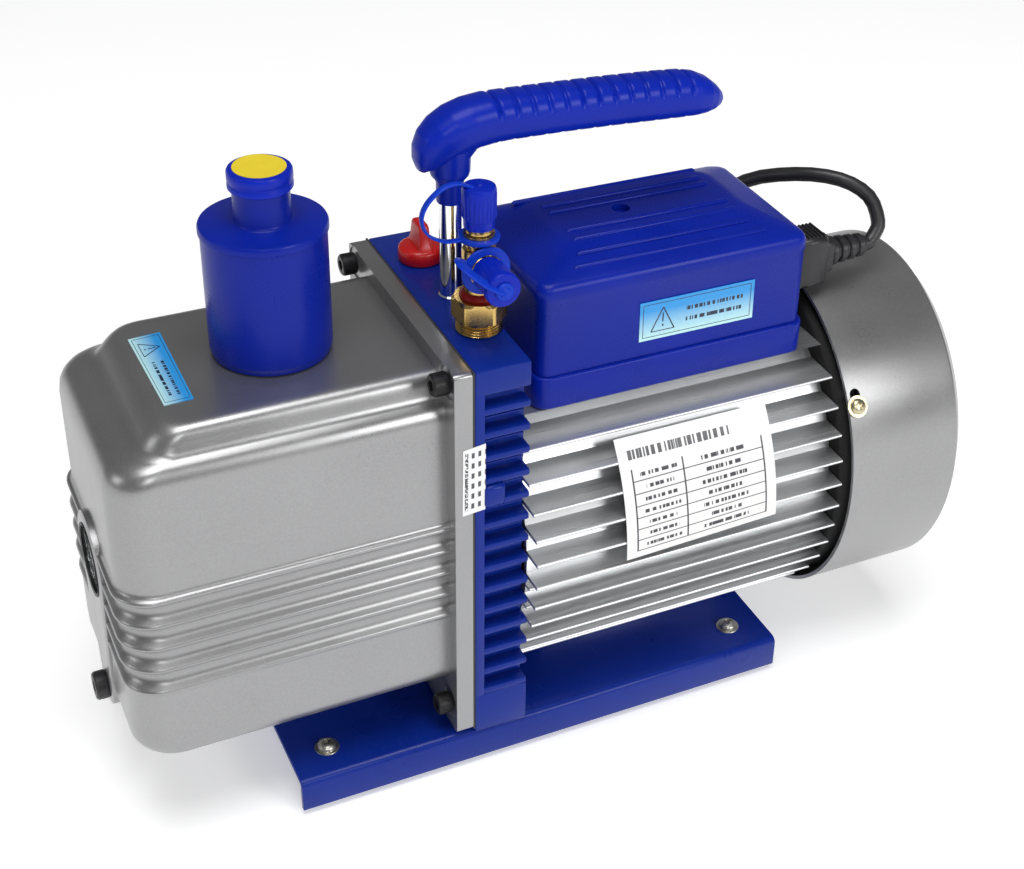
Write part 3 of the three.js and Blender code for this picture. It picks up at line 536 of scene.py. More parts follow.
def colour(key, share=(1, 1, 1)):
    """A colour that the user may change, each channel times a share."""
    return tuple(c * k for c, k in zip(getattr(bpy.context.scene.pump_colours, key), share))


FINISHES = {}


def finish(name):
    """The named finish, made the first time that it is asked for."""
    if name not in FINISHES:
        FINISHES[name] = FINISH_MAKERS[name]().material
    return FINISHES[name]


def hammered_silver(name="Hammered silver paint", tone=1.0, rough=0.05):
    f = Finish(name, colour("silver", (tone, tone, tone)), 0.4, 0.82)
    grain = f.noise(0.7, detail=3)
    cloud = f.noise(38, detail=2)
    deep, pale = colour("silver", (tone * 0.643,) * 3), colour("silver", (tone,) * 3)
    f.set("Base Color", f.blend(grain * 0.7 + cloud * 0.3, deep, pale))
    f.set("Roughness", f.ramp(cloud * 0.6 + grain * 0.4, 0.27, 0.38, 0.3, 0.7))
    f.bump(grain + f.noise(2.2, detail=1) * 0.5, rough, 0.5)
    return f


def case_silver():
    return hammered_silver("Tank silver paint", 0.97, 0.022)


def gloss_blue_paint():
    f = Finish(
        "Royal blue paint", colour("paint"), 0.3, Coat_Weight=0.1, Coat_Roughness=0.12, Specular_IOR_Level=0.15
    )
    drift = f.noise(26, detail=3)
    dust = f.noise(0.7, detail=2) > 0.72
    wear = f.noise(1.4, scale=(1, 0.12, 1), detail=4) > 0.71
    base = f.blend(drift, colour("paint", (0.333, 0.63, 0.714)), colour("paint"))
    f.set("Base Color", f.blend(dust * 0.03 + wear * 0.03, base, (0.4, 0.45, 0.6)))
    f.set("Roughness", f.ramp(drift, 0.24, 0.38, 0.3, 0.7))
    f.bump(f.noise(1.8, detail=2), 0.03, 0.4)
    return f


def blue_plastic(name="Moulded blue plastic", color=None, sheen=0.28, texture=0.01):
    color = color or colour("plastic")
    f = Finish(name, color, sheen, Specular_IOR_Level=0.18)
    drift = f.noise(30, detail=2)
    fine = f.noise(0.8, detail=3)
    dark = tuple(c * 0.82 for c in color)
    f.set("Base Color", f.blend(drift, dark, tuple(min(1, c * 1.12) for c in color)))
    f.set("Roughness", f.ramp(drift * 0.5 + fine * 0.5, sheen - 0.05, sheen + 0.1, 0.3, 0.7))
    f.bump(fine, texture, 0.25)
    return f


def cap_blue():
    return blue_plastic("Moulded blue cap", colour("caps"), 0.32)


def grip_blue():
    return blue_plastic("Blue grip", colour("grip"), 0.3, 0.02)


def strap_blue():
    return blue_plastic("Blue strap", colour("straps"), 0.36)


def red_plastic():
    f = Finish("Moulded red plastic", colour("fill_cap"), 0.3)
    drift = f.noise(8, detail=2)
    f.set("Base Color", f.blend(drift, colour("fill_cap", (0.7, 0.375, 0.375)), colour("fill_cap")))
    f.set("Roughness", f.ramp(f.noise(0.8), 0.26, 0.42, 0.3, 0.7))
    f.bump(f.noise(0.6, detail=3), 0.02, 0.4)
    return f


def extruded_aluminium():
    f = Finish("Extruded aluminium", colour("aluminium"), 0.32, 0.86)
    streak = f.noise(1.0, scale=(0.012, 1, 1), detail=5)
    cloud = f.noise(22, detail=3)
    deep = colour("aluminium", (0.725, 0.733, 0.741))
    f.set("Base Color", f.blend(streak * 0.6 + cloud * 0.4, deep, colour("aluminium")))
    f.set("Roughness", f.ramp(streak, 0.26, 0.38, 0.3, 0.7))
    f.bump(streak, 0.003, 0.3)
    return f


def polished_chrome():
    f = Finish("Polished chrome", (0.86, 0.87, 0.88), 0.07, 1.0)
    f.set("Roughness", f.ramp(f.noise(5, detail=4), 0.04, 0.14, 0.3, 0.7))
    f.bump(f.noise(1.2, scale=(1, 1, 0.1)), 0.004, 0.4)
    return f


def turned_brass():
    f = Finish("Turned brass", colour("brass"), 0.24, 1.0)
    marks = f.noise(0.35, scale=(0.2, 0.2, 1), detail=3)
    drift = f.noise(7, detail=3)
    f.set("Base Color", f.blend(drift, colour("brass", (0.8, 0.771, 0.647)), colour("brass")))
    f.set("Roughness", f.ramp(marks * 0.5 + drift * 0.5, 0.2, 0.3, 0.3, 0.7))
    f.bump(marks, 0.003, 0.3)
    return f


def zinc_steel(name="Zinc-plated steel", color=(0.62, 0.6, 0.54)):
    f = Finish(name, color, 0.3, 1.0)
    drift = f.noise(2.2, detail=4)
    f.set("Base Color", f.blend(drift, tuple(c * 0.7 for c in color), color))
    f.set("Roughness", f.ramp(drift, 0.22, 0.42, 0.3, 0.7))
    f.bump(f.noise(0.4, detail=2), 0.01, 0.4)
    return f


def yellow_zinc():
    return zinc_steel("Yellow zinc plate", (0.7, 0.63, 0.42))


def black_oxide():
    f = Finish("Blackened steel", (0.03, 0.03, 0.033), 0.42, 0.55)
    wear = f.noise(1.2, detail=4)
    f.set("Base Color", f.blend(wear, (0.01, 0.01, 0.011), (0.03, 0.03, 0.032)))
    f.set("Roughness", f.ramp(wear, 0.34, 0.55, 0.3, 0.7))
    f.bump(wear, 0.02, 0.4)
    return f


def black_moulding(name="Black moulding", color=(0.016, 0.016, 0.018), rough=0.42):
    f = Finish(name, color, rough)
    grain = f.noise(0.7, detail=3)
    cloud = f.noise(14, detail=2)
    f.set("Base Color", f.blend(cloud, tuple(c * 0.75 for c in color), tuple(c * 1.5 for c in color)))
    f.set("Roughness", f.ramp(grain, rough - 0.07, rough + 0.1, 0.3, 0.7))
    f.bump(grain, 0.03, 0.5)
    return f


def rubber_foot():
    return black_moulding("Black rubber", (0.022, 0.022, 0.022), 0.72)


def lead_jacket():
    return black_moulding("Lead jacket", colour("lead"), 0.38)


def bell_paint():
    # Black paint made darker still, as painted shade, so the gap between the fins and the fan cover stays dark.
    return black_moulding("Black bell paint", (0.004, 0.004, 0.004), 0.75)


def gasket_sheet():
    return black_moulding("Gasket sheet", (0.03, 0.03, 0.03), 0.7)


def cast_iron():
    f = Finish("Machined cast iron", (0.2, 0.2, 0.21), 0.5, 0.85)
    grain = f.noise(0.9, detail=5)
    f.set("Base Color", f.blend(grain, (0.12, 0.12, 0.125), (0.3, 0.3, 0.31)))
    f.set("Roughness", f.ramp(grain, 0.4, 0.6, 0.3, 0.7))
    f.bump(grain, 0.05, 0.6)
    return f


def ground_steel():
    f = Finish("Ground steel", (0.56, 0.57, 0.58), 0.3, 1.0)
    marks = f.noise(0.5, scale=(0.08, 1, 1), detail=3)
    f.set("Base Color", f.blend(marks, (0.44, 0.45, 0.46), (0.68, 0.69, 0.7)))
    f.set("Roughness", f.ramp(marks, 0.22, 0.4, 0.3, 0.7))
    f.bump(marks, 0.01, 0.5)
    return f


def copper_winding():
    f = Finish("Varnished winding", (0.42, 0.16, 0.06), 0.35, 0.7)
    wire = f.noise(0.8, scale=(1, 0.2, 0.2), detail=2)
    f.set("Base Color", f.blend(wire, (0.22, 0.07, 0.03), (0.62, 0.28, 0.12)))
    f.set("Roughness", f.ramp(wire, 0.26, 0.5, 0.3, 0.7))
    f.bump(wire, 0.12, 0.8)
    return f


def graphite_vane():
    return black_moulding("Graphite vane", (0.05, 0.05, 0.055), 0.5)


def filter_felt():
    f = Finish("Filter felt", (0.76, 0.73, 0.64), 0.95)
    fibre = f.noise(0.5, detail=6, roughness=0.7)
    f.set("Base Color", f.blend(fibre, (0.6, 0.57, 0.48), (0.85, 0.82, 0.74)))
    f.bump(fibre, 0.3, 0.8)
    return f


def window_glass():
    f = Finish("Window glass", (0.9, 0.94, 0.93), 0.04, 0.0, Transmission_Weight=0.9, IOR=1.45)
    f.set("Roughness", f.ramp(f.noise(9, detail=3), 0.02, 0.1, 0.3, 0.7))
    return f


def oil_film():
    f = Finish("Pale oil", (0.55, 0.6, 0.6), 0.2)
    level = f.noise(12, scale=(1, 1, 0.4), detail=2)
    f.set("Base Color", f.blend(level, (0.25, 0.3, 0.31), (0.62, 0.68, 0.68)))
    return f


def red_sealant():
    return blue_plastic("Red sealant", (0.2, 0.006, 0.005), 0.35, 0.15)


def yellow_vinyl():
    f = Finish("Yellow vinyl", colour("disc"), 0.4)
    drift = f.noise(6, detail=3)
    f.set("Base Color", f.blend(drift, colour("disc", (0.889, 0.833, 0.375)), colour("disc")))
    f.bump(f.noise(3, detail=2), 0.05, 0.4)
    return f


def stage_floor():
    f = Finish("Studio floor", (0.93, 0.93, 0.935), 0.75, Emission_Color=(1, 1, 1, 1), Emission_Strength=0.34)
    f.set("Base Color", f.blend(f.noise(120, detail=2), (0.915, 0.915, 0.92), (0.945, 0.945, 0.95)))
    return f


def label_axes(f):
    """A label's own map as two values: along and up, each from 0 to 1."""
    point = f.add("ShaderNodeTexCoord", {}, output=2)
    along = f.add("ShaderNodeSeparateXYZ", {}, point, output=0)
    up = f.add("ShaderNodeSeparateXYZ", {}, point, output=1)
    return along, up


def word_bars(f, along, up, centre, width, row, height, seed):
    """Generic broken bars that stand where a line of print would be."""
    dashes = f.add("ShaderNodeTexNoise", {"noise_dimensions": "1D"}, W=along * 46 + seed, Scale=1.0, Detail=1.0)
    inside = (along - centre).size() < width / 2
    line = (up - row).size() < height / 2
    return inside * line * (dashes > 0.47)


def rating_label():
    f = Finish("Rating label", (0.85, 0.85, 0.84), 0.35)
    along, up = label_axes(f)
    ink = word_bars(f, along, up, 0.4, 0.68, 0.875, 0.07, 3)
    rows = 7
    table = along.between(0.07, 0.93) * up.between(0.06, 0.77)
    line_up = ((up - 0.06) / 0.71 * rows).fraction()
    ink = ink + table * (line_up < 0.08)
    ink = ink + up.between(0.06, 0.77) * ((along - 0.4).size() < 0.005)
    ink = ink + up.between(0.06, 0.77) * (((along - 0.5).size() - 0.43).size() < 0.005)
    for i in range(rows):
        row = 0.06 + 0.71 * (i + 0.5) / rows
        ink = ink + word_bars(f, along, up, 0.24, 0.24 - 0.03 * (i % 3), row, 0.03, 11 + 5 * i)
        ink = ink + word_bars(f, along, up, 0.66, 0.3 - 0.07 * (i % 2), row, 0.034, 31 + 7 * i)
    f.set("Base Color", f.blend(ink, (0.84, 0.84, 0.83), (0.05, 0.05, 0.06)))
    f.set("Roughness", f.ramp(f.noise(12), 0.28, 0.42, 0.3, 0.7))
    f.bump(f.noise(9, detail=2), 0.06, 0.3)
    return f


def caution_label(name="Blue label"):
    """Blue at the top fading to pale at the foot, with a thin border, a triangle and generic bars."""
    f = Finish(name, (0.1, 0.45, 0.8), 0.28)
    along, up = label_axes(f)
    sky = f.blend(f.ramp(up, 0.0, 1.0, 0.05, 0.75), (0.5, 0.8, 0.82), (0.02, 0.3, 0.72))
    border_x = (along - 0.5).size() - 0.47
    border_y = (up - 0.5).size() - 0.42
    border = ((border_x.size() < 0.003) * (border_y < 0.0)) + ((border_y.size() < 0.009) * (border_x < 0.0))
    height = (up - 0.2) / 0.6
    leg = (along - 0.2).size() - (1 - height) * 0.1
    triangle = (leg.size() < 0.006) * height.between(0.0, 1.0)
    triangle = triangle + ((up - 0.2).size() < 0.012) * ((along - 0.2).size() < 0.1)
    mark = ((along - 0.2).size() < 0.006) * up.between(0.42, 0.66) + ((along - 0.2).size() < 0.007) * up.between(0.3, 0.36)
    ink = border + triangle + mark
    ink = ink + word_bars(f, along, up, 0.65, 0.5, 0.64, 0.1, 5) + word_bars(f, along, up, 0.65, 0.5, 0.36, 0.1, 29)
    f.set("Base Color", f.blend(ink, sky, (0.01, 0.02, 0.05)))
    f.set("Roughness", f.ramp(f.noise(10), 0.2, 0.36, 0.3, 0.7))
    return f


def date_label():
    f = Finish("Date label", (0.84, 0.84, 0.84), 0.4)
    along, up = label_axes(f)
    columns = (up - 0.04) * 6.5
    cells = (columns.fraction() - 0.5).size() < 0.26
    rows = ((along * 3.4).fraction() - 0.5).size() < 0.22
    grid = cells * rows * up.between(0.05, 0.95) * (along > 0.32)
    title = (along - 0.16).size() < 0.07
    ink = grid + title * (f.noise(1.1, detail=1) > 0.46) * up.between(0.06, 0.94)
    f.set("Base Color", f.blend(ink, (0.84, 0.84, 0.84), (0.07, 0.07, 0.08)))
    f.bump(f.noise(5), 0.03, 0.3)
    return f


FINISH_MAKERS = {
    "silver": hammered_silver,
    "case": case_silver,
    "blue_paint": gloss_blue_paint,
    "blue_plastic": blue_plastic,
    "cap_blue": cap_blue,
    "grip": grip_blue,
    "strap": strap_blue,
    "red": red_plastic,
    "aluminium": extruded_aluminium,
    "chrome": polished_chrome,
    "brass": turned_brass,
    "zinc": zinc_steel,
    "yellow_zinc": yellow_zinc,
    "black_steel": black_oxide,
    "black": black_moulding,
    "rubber": rubber_foot,
    "lead": lead_jacket,
    "bell": bell_paint,
    "gasket": gasket_sheet,
    "iron": cast_iron,
    "steel": ground_steel,
    "copper": copper_winding,
    "vane": graphite_vane,
    "felt": filter_felt,
    "glass": window_glass,
    "oil": oil_film,
    "sealant": red_sealant,
    "yellow": yellow_vinyl,
    "floor": stage_floor,
    "rating": rating_label,
    "caution": caution_label,
    "date": date_label,
}


def deliver(piece, body, slot, *replaced):
    """Attaches a finished piece to its body, and hides the CAD nodes that it stands for."""
    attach(piece, body)
    if replaced:
        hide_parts(*replaced)
    return piece


def paint_node(node, name):
    """Gives a CAD node that stays in view its finish."""
    slots = NODES[node].data.materials
    slots.clear()
    slots.append(finish(name))


class PieceOperator(bpy.types.Operator):
    """A piece of the pump."""

    bl_options = {"REGISTER", "UNDO"}

    @classmethod
    def poll(cls, context):
        return context.scene is not None


# ---------------------------------------------------------------- sizes and colours that a user would change
def length(name, description, default):
    """A length property, in metres."""
    return bpy.props.FloatProperty(
        name=name, description=description, default=default, min=0.0, precision=4, unit="LENGTH", subtype="DISTANCE"
    )


def number(name, description, default):
    """A count property."""
    return bpy.props.IntProperty(name=name, description=description, default=default, min=1, subtype="UNSIGNED")


def tint(name, description, default):
    """A colour property."""
    return bpy.props.FloatVectorProperty(
        name=name, description=description, default=default, size=3, min=0.0, max=1.0, subtype="COLOR"
    )


class PumpSizes(bpy.types.PropertyGroup):
    """Lengths and counts of the pump's visible pieces."""

    lead_diameter: length("Lead diameter", "Thickness of the mains lead", 0.0066)
    coil_radius: length("Coil radius", "Middle radius of the coiled lead", 0.0385)
    base_sheet: length("Base sheet", "Thickness of the folded base plate", 0.0025)
    cover_sheet: length("Cover sheet", "Thickness of the fan cover", 0.0016)
    body_fin_depth: length("Body fin depth", "How far the pump body's fins stand out", 0.0068)
    groove_depth: length("Groove depth", "Depth of the finger grooves in the grip", 0.0011)
    grip_grooves: number("Grip grooves", "Finger grooves along the grip", 13)
    motor_fins: number("Motor fins", "Long fins on each side of the motor", 12)
    body_fins: number("Body fins", "Fins on each side of the pump body", 14)
    case_ribs: number("Case ribs", "Ribs round the oil case", 5)


class PumpColours(bpy.types.PropertyGroup):
    """Colours of the pump's finishes, as linear light."""

    paint: tint("Blue paint", "Paint on the base plate and the pump body", (0.006, 0.027, 0.28))
    plastic: tint("Blue plastic", "Terminal box and exhaust can", (0.002, 0.015, 0.3))
    caps: tint("Blue caps", "Inlet caps and exhaust dust cap", (0.002, 0.018, 0.42))
    grip: tint("Blue grip", "Carrying grip", (0.002, 0.018, 0.38))
    straps: tint("Blue straps", "Straps of the inlet caps", (0.004, 0.04, 0.5))
    fill_cap: tint("Red cap", "Oil fill cap", (0.6, 0.008, 0.008))
    disc: tint("Yellow disc", "Disc on the exhaust dust cap", (0.9, 0.72, 0.04))
    silver: tint("Silver paint", "Oil case and fan cover", (0.42, 0.42, 0.4242))
    aluminium: tint("Aluminium", "Motor fins", (0.8, 0.805, 0.81))
    brass: tint("Brass", "Inlet fitting", (0.7, 0.48, 0.17))
    lead: tint("Black lead", "Mains lead and its connectors", (0.014, 0.014, 0.016))


class PumpLook(bpy.types.PropertyGroup):
    """Light and camera settings of the stage."""

    room_light: bpy.props.FloatProperty(
        name="Room light", description="Strength of the pale surroundings", default=0.16, min=0.0, max=1.0,
        subtype="FACTOR",
    )
    lens: bpy.props.FloatProperty(
        name="Lens", description="Camera focal length, mm", default=61.59, min=1.0, unit="CAMERA"
    )


# ---------------------------------------------------------------- stage
class PUMP_OT_stage(PieceOperator):
    """Camera, floor and soft studio light"""

    bl_idname = "pump.stage"
    bl_label = "Stage"

    def execute(self, context):
        look = context.scene.pump_look
        camera = bpy.data.cameras.new("Camera")
        camera.sensor_width = 36
        camera.lens = look.lens
        camera.shift_x = -0.0669
        camera.shift_y = -0.0813
        camera.clip_end = 100
        eye = bpy.data.objects.new("Camera", camera)
        azimuth, elevation, roll = radians(-26.749), radians(31.208), radians(2.005)
        back = Vector((sin(azimuth) * cos(elevation), -cos(azimuth) * cos(elevation), sin(elevation)))
        right = Vector((cos(azimuth), sin(azimuth), 0))
        up = back.cross(right)
        side = cos(roll) * right + sin(roll) * up
        top = -sin(roll) * right + cos(roll) * up
        turn = Matrix((side, top, back)).transposed().to_4x4()
        aim = place(75.934, 0, 161.49)
        eye.matrix_world = Matrix.Translation(aim + back * 0.76379) @ turn
        context.scene.collection.objects.link(eye)
        context.scene.camera = eye

        half = 40.0
        mesh = bpy.data.meshes.new("floor")
        mesh.from_pydata([(-half, -half, 0), (half, -half, 0), (half, half, 0), (-half, half, 0)], [], [(0, 1, 2, 3)])
        floor = wrap_mesh("floor", mesh, finish("floor"))

        world = bpy.data.worlds.new("Pale room")
        world.use_nodes = True
        world.node_tree.nodes["Background"].inputs[0].default_value = (1, 1, 1, 1)
        # The room is bright to the eye only, so that finishes mirror a dim studio.
        room = world.node_tree.nodes["Background"]
        path = world.node_tree.nodes.new("ShaderNodeLightPath")
        seen = world.node_tree.nodes.new("ShaderNodeMath")
        seen.operation = "MAXIMUM"
        seen.inputs[1].default_value = look.room_light
        world.node_tree.links.new(path.outputs["Is Camera Ray"], seen.inputs[0])
        world.node_tree.links.new(seen.outputs[0], room.inputs["Strength"])
        context.scene.world = world
        context.scene.view_settings.view_transform = "Standard"
        lights = [
            ("Overhead softbox", (-0.2, -0.5, 3.0), (0.0, 0.0, 0.1), 1.7, 54),
            ("Front softbox", (-0.7, -2.4, 1.7), (0.0, 0.0, 0.1), 0.9, 12),
            ("Left softbox", (-2.4, 0.2, 1.1), (-0.05, 0.0, 0.1), 0.8, 5),
            ("Right softbox", (1.1, -2.3, 1.2), (0.05, 0.0, 0.1), 1.0, 24),
        ]
        for name, at, aim_at, size, power in lights:
            lamp = bpy.data.lights.new(name, "AREA")
            lamp.shape = "SQUARE"
            lamp.size = size
            lamp.energy = power
            holder = bpy.data.objects.new(name, lamp)
            direction = Vector(aim_at) - Vector(at)
            holder.matrix_world = Matrix.Translation(at) @ direction.to_track_quat("-Z", "Y").to_matrix().to_4x4()
            context.scene.collection.objects.link(holder)
        return {"FINISHED"}


# ---------------------------------------------------------------- mains lead
PLUG_Y, PLUG_Z = -17.0, 196.5
COIL_AT = (95.0, 135.0)


def lead_route(sizes):
    """The lead's centreline: over the motor, down behind it, round the coil, and to the plug."""
    coil_radius, diameter = mm(sizes.coil_radius), mm(sizes.lead_diameter)
    radius = diameter / 2
    outer = coil_radius + radius + 0.1
    inner = coil_radius - radius - 0.1
    beside = coil_radius + 3 * radius + 0.3
    x, y = COIL_AT
    fall = [
        (206.5, PLUG_Y, PLUG_Z),
        (209.5, PLUG_Y, PLUG_Z),
        (213.5, PLUG_Y + 1.5, 199.5),
        (216.5, PLUG_Y + 4, 204),
        (215.5, PLUG_Y + 12, 213),
        (206, PLUG_Y + 22, 218.5),
        (192, 20, 217),
        (178, 40, 207),
        (168, 58, 186),
        (163, 71, 155),
        (160, 79, 118),
        (157, 84, 80),
        (154, 88, 42),
        (150.5, 94, 14),
        (x + beside + 3, 106, radius + 0.6),
        (x + beside + 0.6, 120, radius + 0.4),
    ]
    low, layer = radius + 0.3, diameter + 0.2
    # Angle, radius and height at the changes from one turn of the coil to the next.
    turns = [
        (0, beside, low), (70, outer, low), (320, outer, low), (400, inner, low), (620, inner, low),
        (690, inner, low + layer), (900, inner, low + layer), (980, outer, low + layer),
        (1180, outer, low + layer), (1255, outer, low + 2 * layer), (1530, outer, low + 2 * layer),
    ]
    coil = []
    for (a0, r0, z0), (a1, r1, z1) in zip(turns, turns[1:]):
        steps = max(2, round((a1 - a0) / 12))
        for i in range(steps):
            t = i / steps
            ease = t * t * (3 - 2 * t)
            angle = radians(a0 + (a1 - a0) * t)
            r = r0 + (r1 - r0) * ease
            coil.append((x + r * cos(angle), y + r * sin(angle), z0 + (z1 - z0) * ease))
    top = low + 2 * layer
    tail = [
        (x, y + outer, top),
        (x - 13, y + outer + 1.2, top - 1.5),
        (x - 26, y + outer + 3.6, top - 6),
        (x - 38, y + outer + 5.8, top - 7),
        (x - 47, y + outer + 6.7, top - 3),
        (x - 54.5, y + outer + 6.9, 18.6),
    ]
    return smooth_path(fall + coil + tail, 3)


class PUMP_OT_lead(PieceOperator):
    """Mains lead with its connector, strain reliefs, coil tie and plug"""

    bl_idname = "pump.lead"
    bl_label = "Mains lead"

    def execute(self, context):
        sizes = context.scene.pump_sizes
        radius = mm(sizes.lead_diameter) / 2
        route = lead_route(sizes)
        lead = rod_along("mains_lead", route, lambda t: circle(radius, 14), finish("lead"))
        deliver(lead, "pump", "cord", "cord_run", "cord_coil")

        body = black_connector()
        deliver(body, "pump", "cord", "power_cord_connector")
        plug = mains_plug(route[-1])
        deliver(plug, "pump", "cord", "cord_plug")
        x, y = COIL_AT
        mid, wide = x - mm(sizes.coil_radius), 7.4
        lap = rounded_box(mid - wide, mid + wide, 0.75, 21.2, 4, 4, 5)
        loop = [(a, y, b) for a, b in lap + lap[:1]]
        tie = rod_along("lead_tie", loop, lambda t: [(b, a) for a, b in flat_bar(2.4, 0.6)], finish("black"))
        deliver(tie, "pump", "cord")
        run = sum((b - a).length for a, b in zip(route, route[1:])) * MM
        place(*route[0])
        [place(*p) for p in route]
        return {"FINISHED"}


def black_connector():
    """The moulded connector in the inlet, with finger ridges and a stepped, tapering strain relief."""
    dark = finish("lead")
    parts = []
    for name, x0, x1, half, rise, corner in (
        ("nose", 150, 170, 7.8, 11.3, 2.2),
        ("shell", 168.5, 183, 8.6, 11.9, 2.6),
        ("shoulder", 182.4, 187.4, 6.4, 8.2, 3),
    ):
        outline = rounded_box(-half, half, -rise, rise, corner, corner, 5)
        shrink = 0.9 if name == "shell" else 0.95
        rings = [
            [(x, PLUG_Y + a * k, PLUG_Z + b * k) for a, b in outline]
            for x, k in ((x0, shrink), (x0 + 1.2, 1), (x1 - 1.4, 1), (x1, shrink))
        ]
        parts.append(new_object(name, *skin(rings), dark, 50))
    ridge = block("ridge", (171.4, 172.3), (PLUG_Y - 6.6, PLUG_Y + 6.6), (PLUG_Z + 11.4, PLUG_Z + 12.5), dark, 0.25)
    parts.append(row_of("ridges", ridge, 6, (1.9, 0, 0), dark))
    parts.append(
        turned("core", [(0, 186), (5.4, 186), (4.2, 206.4), (0, 206.4)], dark, (0, PLUG_Y, PLUG_Z), "X", 32)
    )
    for i, (x, r) in enumerate(((187.6, 6.5), (192.4, 6.1), (197.2, 5.7), (202, 5.3))):
        profile = [(3, x), (r - 0.5, x), (r, x + 0.5), (r, x + 2.5), (r - 0.5, x + 3), (3, x + 3)]
        parts.append(turned(f"relief_{i}", profile, dark, (0, PLUG_Y, PLUG_Z), "X", 32))
    return merge("mains_connector", *parts)


def mains_plug(end):
    """A round two-pin plug lying on the floor, its pins pointing away from the coil."""
    dark = finish("lead")
    y = end[1]
    z = 18.9
    back = end[0]
    profile = [
        (0, back - 56), (16.4, back - 56), (18.2, back - 54.6), (18.6, back - 52), (18.6, back - 38), (17.6, back - 36),
        (14.4, back - 32), (11, back - 24), (8.2, back - 14), (6.4, back - 5), (4.6, back + 0.4), (0, back + 0.4),
    ]
    body = turned("plug_body", profile, dark, (0, y, z), "X", 48, 60)
    pins = [
        turned(
            f"pin_{side}",
            [(0, back - 75), (1.7, back - 75), (2.35, back - 74), (2.35, back - 55), (0, back - 55)],
            finish("zinc"),
            (0, y + side * 9.5, z),
            "X",
            20,
        )
        for side in (-1, 1)
    ]
    rib = block("grip_rib", (back - 51, back - 39), (y - 1, y + 1), (z + 18.2, z + 19.2), dark, 0.3)
    return merge("mains_plug", body, *pins, rib)


# ---------------------------------------------------------------- base
BASE_FRONT, BASE_REAR, BASE_HALF = -77.4, 154.0, 59.2
BASE_LOW, BASE_TOP = 3.0, 18.6
FOOT_PLACES = [(x, y) for x in (-60.7, 137.3) for y in (-42.5, 42.5)]


def cross_head(name, radius, height, metal, recess=0.42):
    """A pan head with a cross recess, standing on station zero."""
    dome = [
        (0, 0), (radius, 0), (radius, height * 0.35), (radius * 0.93, height * 0.62), (radius * 0.72, height * 0.86),
        (radius * 0.4, height * 0.98), (0, height),
    ]
    head = turned(name, dome, metal, sides=32)
    arm, half = radius * 0.55, radius * 0.13
    cutters = []
    for a, b in ((arm, half), (half, arm)):
        outline = [(-a, -b), (a, -b), (a, b), (-a, b)]
        small = [(u * 0.55, v * 0.55) for u, v in outline]
        rings = [[(u, v, height * (1 - recess)) for u, v in small], [(u, v, height * 1.2) for u, v in outline]]
        cutters.append(new_object("arm", *skin(rings), None))
    return at_origin(carve(head, cutters))


class PUMP_OT_base(PieceOperator):
    """Folded base plate, rubber feet and their screws"""

    bl_idname = "pump.base"
    bl_label = "Base"

    def execute(self, context):
        sheet = mm(context.scene.pump_sizes.base_sheet)
        bend = 3.2
        outer = [(-BASE_HALF, BASE_LOW)] + arc(-BASE_HALF + bend, BASE_TOP - bend, bend, 180, 90, 8)
        thin = bend - sheet
        inner = [(-BASE_HALF + sheet, BASE_LOW)] + arc(-BASE_HALF + bend, BASE_TOP - bend, thin, 180, 90, 6)
        outline = outer + [(-y, z) for y, z in reversed(outer)]
        outline += [(-y, z) for y, z in inner] + list(reversed(inner))
        rings = [[(x, y, z) for y, z in outline] for x in (BASE_FRONT, BASE_REAR)]
        plate = new_object("base_sheet", *skin(rings), finish("blue_paint"), 25)
        soften(plate, 0.35, 2, 50)
        deliver(plate, "pump", "blue_paint", "base_plate")

        head = cross_head("foot_screw", 4.1, 3.1, finish("zinc"))
        screws = copies_at("foot_screws", head, [(x, y, BASE_TOP) for x, y in FOOT_PLACES], finish("zinc"))
        washers = copies_at(
            "foot_washers",
            at_origin(turned("washer", [(2, 0), (5.2, 0), (5.4, 0.35), (5.2, 0.7), (2, 0.7)], finish("zinc"), sides=32)),
            [(x, y, BASE_TOP - 0.1) for x, y in FOOT_PLACES],
            finish("zinc"),
        )
        names = [f"foot_screw_{a}_{b}" for a in ("front", "rear") for b in ("left", "right")]
        deliver(merge("base_screws", screws, washers), "pump", "zinc_screw", *names)
        top = BASE_TOP - sheet - 0.3
        profile = [
            (0, 0), (8.6, 0), (9.6, 0.5), (10, 1.6), (11, top - 1.6), (11, top - 0.4), (10.6, top), (0, top),
        ]
        foot = at_origin(turned("foot", profile, finish("rubber"), sides=40))
        feet = copies_at("rubber_feet", foot, [(x, y, 0) for x, y in FOOT_PLACES], finish("rubber"))
        deliver(feet, "pump", "rubber", *[f"foot_{a}_{b}" for a in ("front", "rear") for b in ("left", "right")])
        return {"FINISHED"}


# ---------------------------------------------------------------- oil case
CASE_FRONT, CASE_HALF, CASE_LOW, CASE_TOP = -141.0, 54.0, 45.0, 196.0
RIB_FIRST, RIB_PITCH, UPPER_STEP = 83.0, 11.0, 2.0
SIGHT_Z, DRAIN_Z = 115.0, 49.5
FLANGE = 7.6


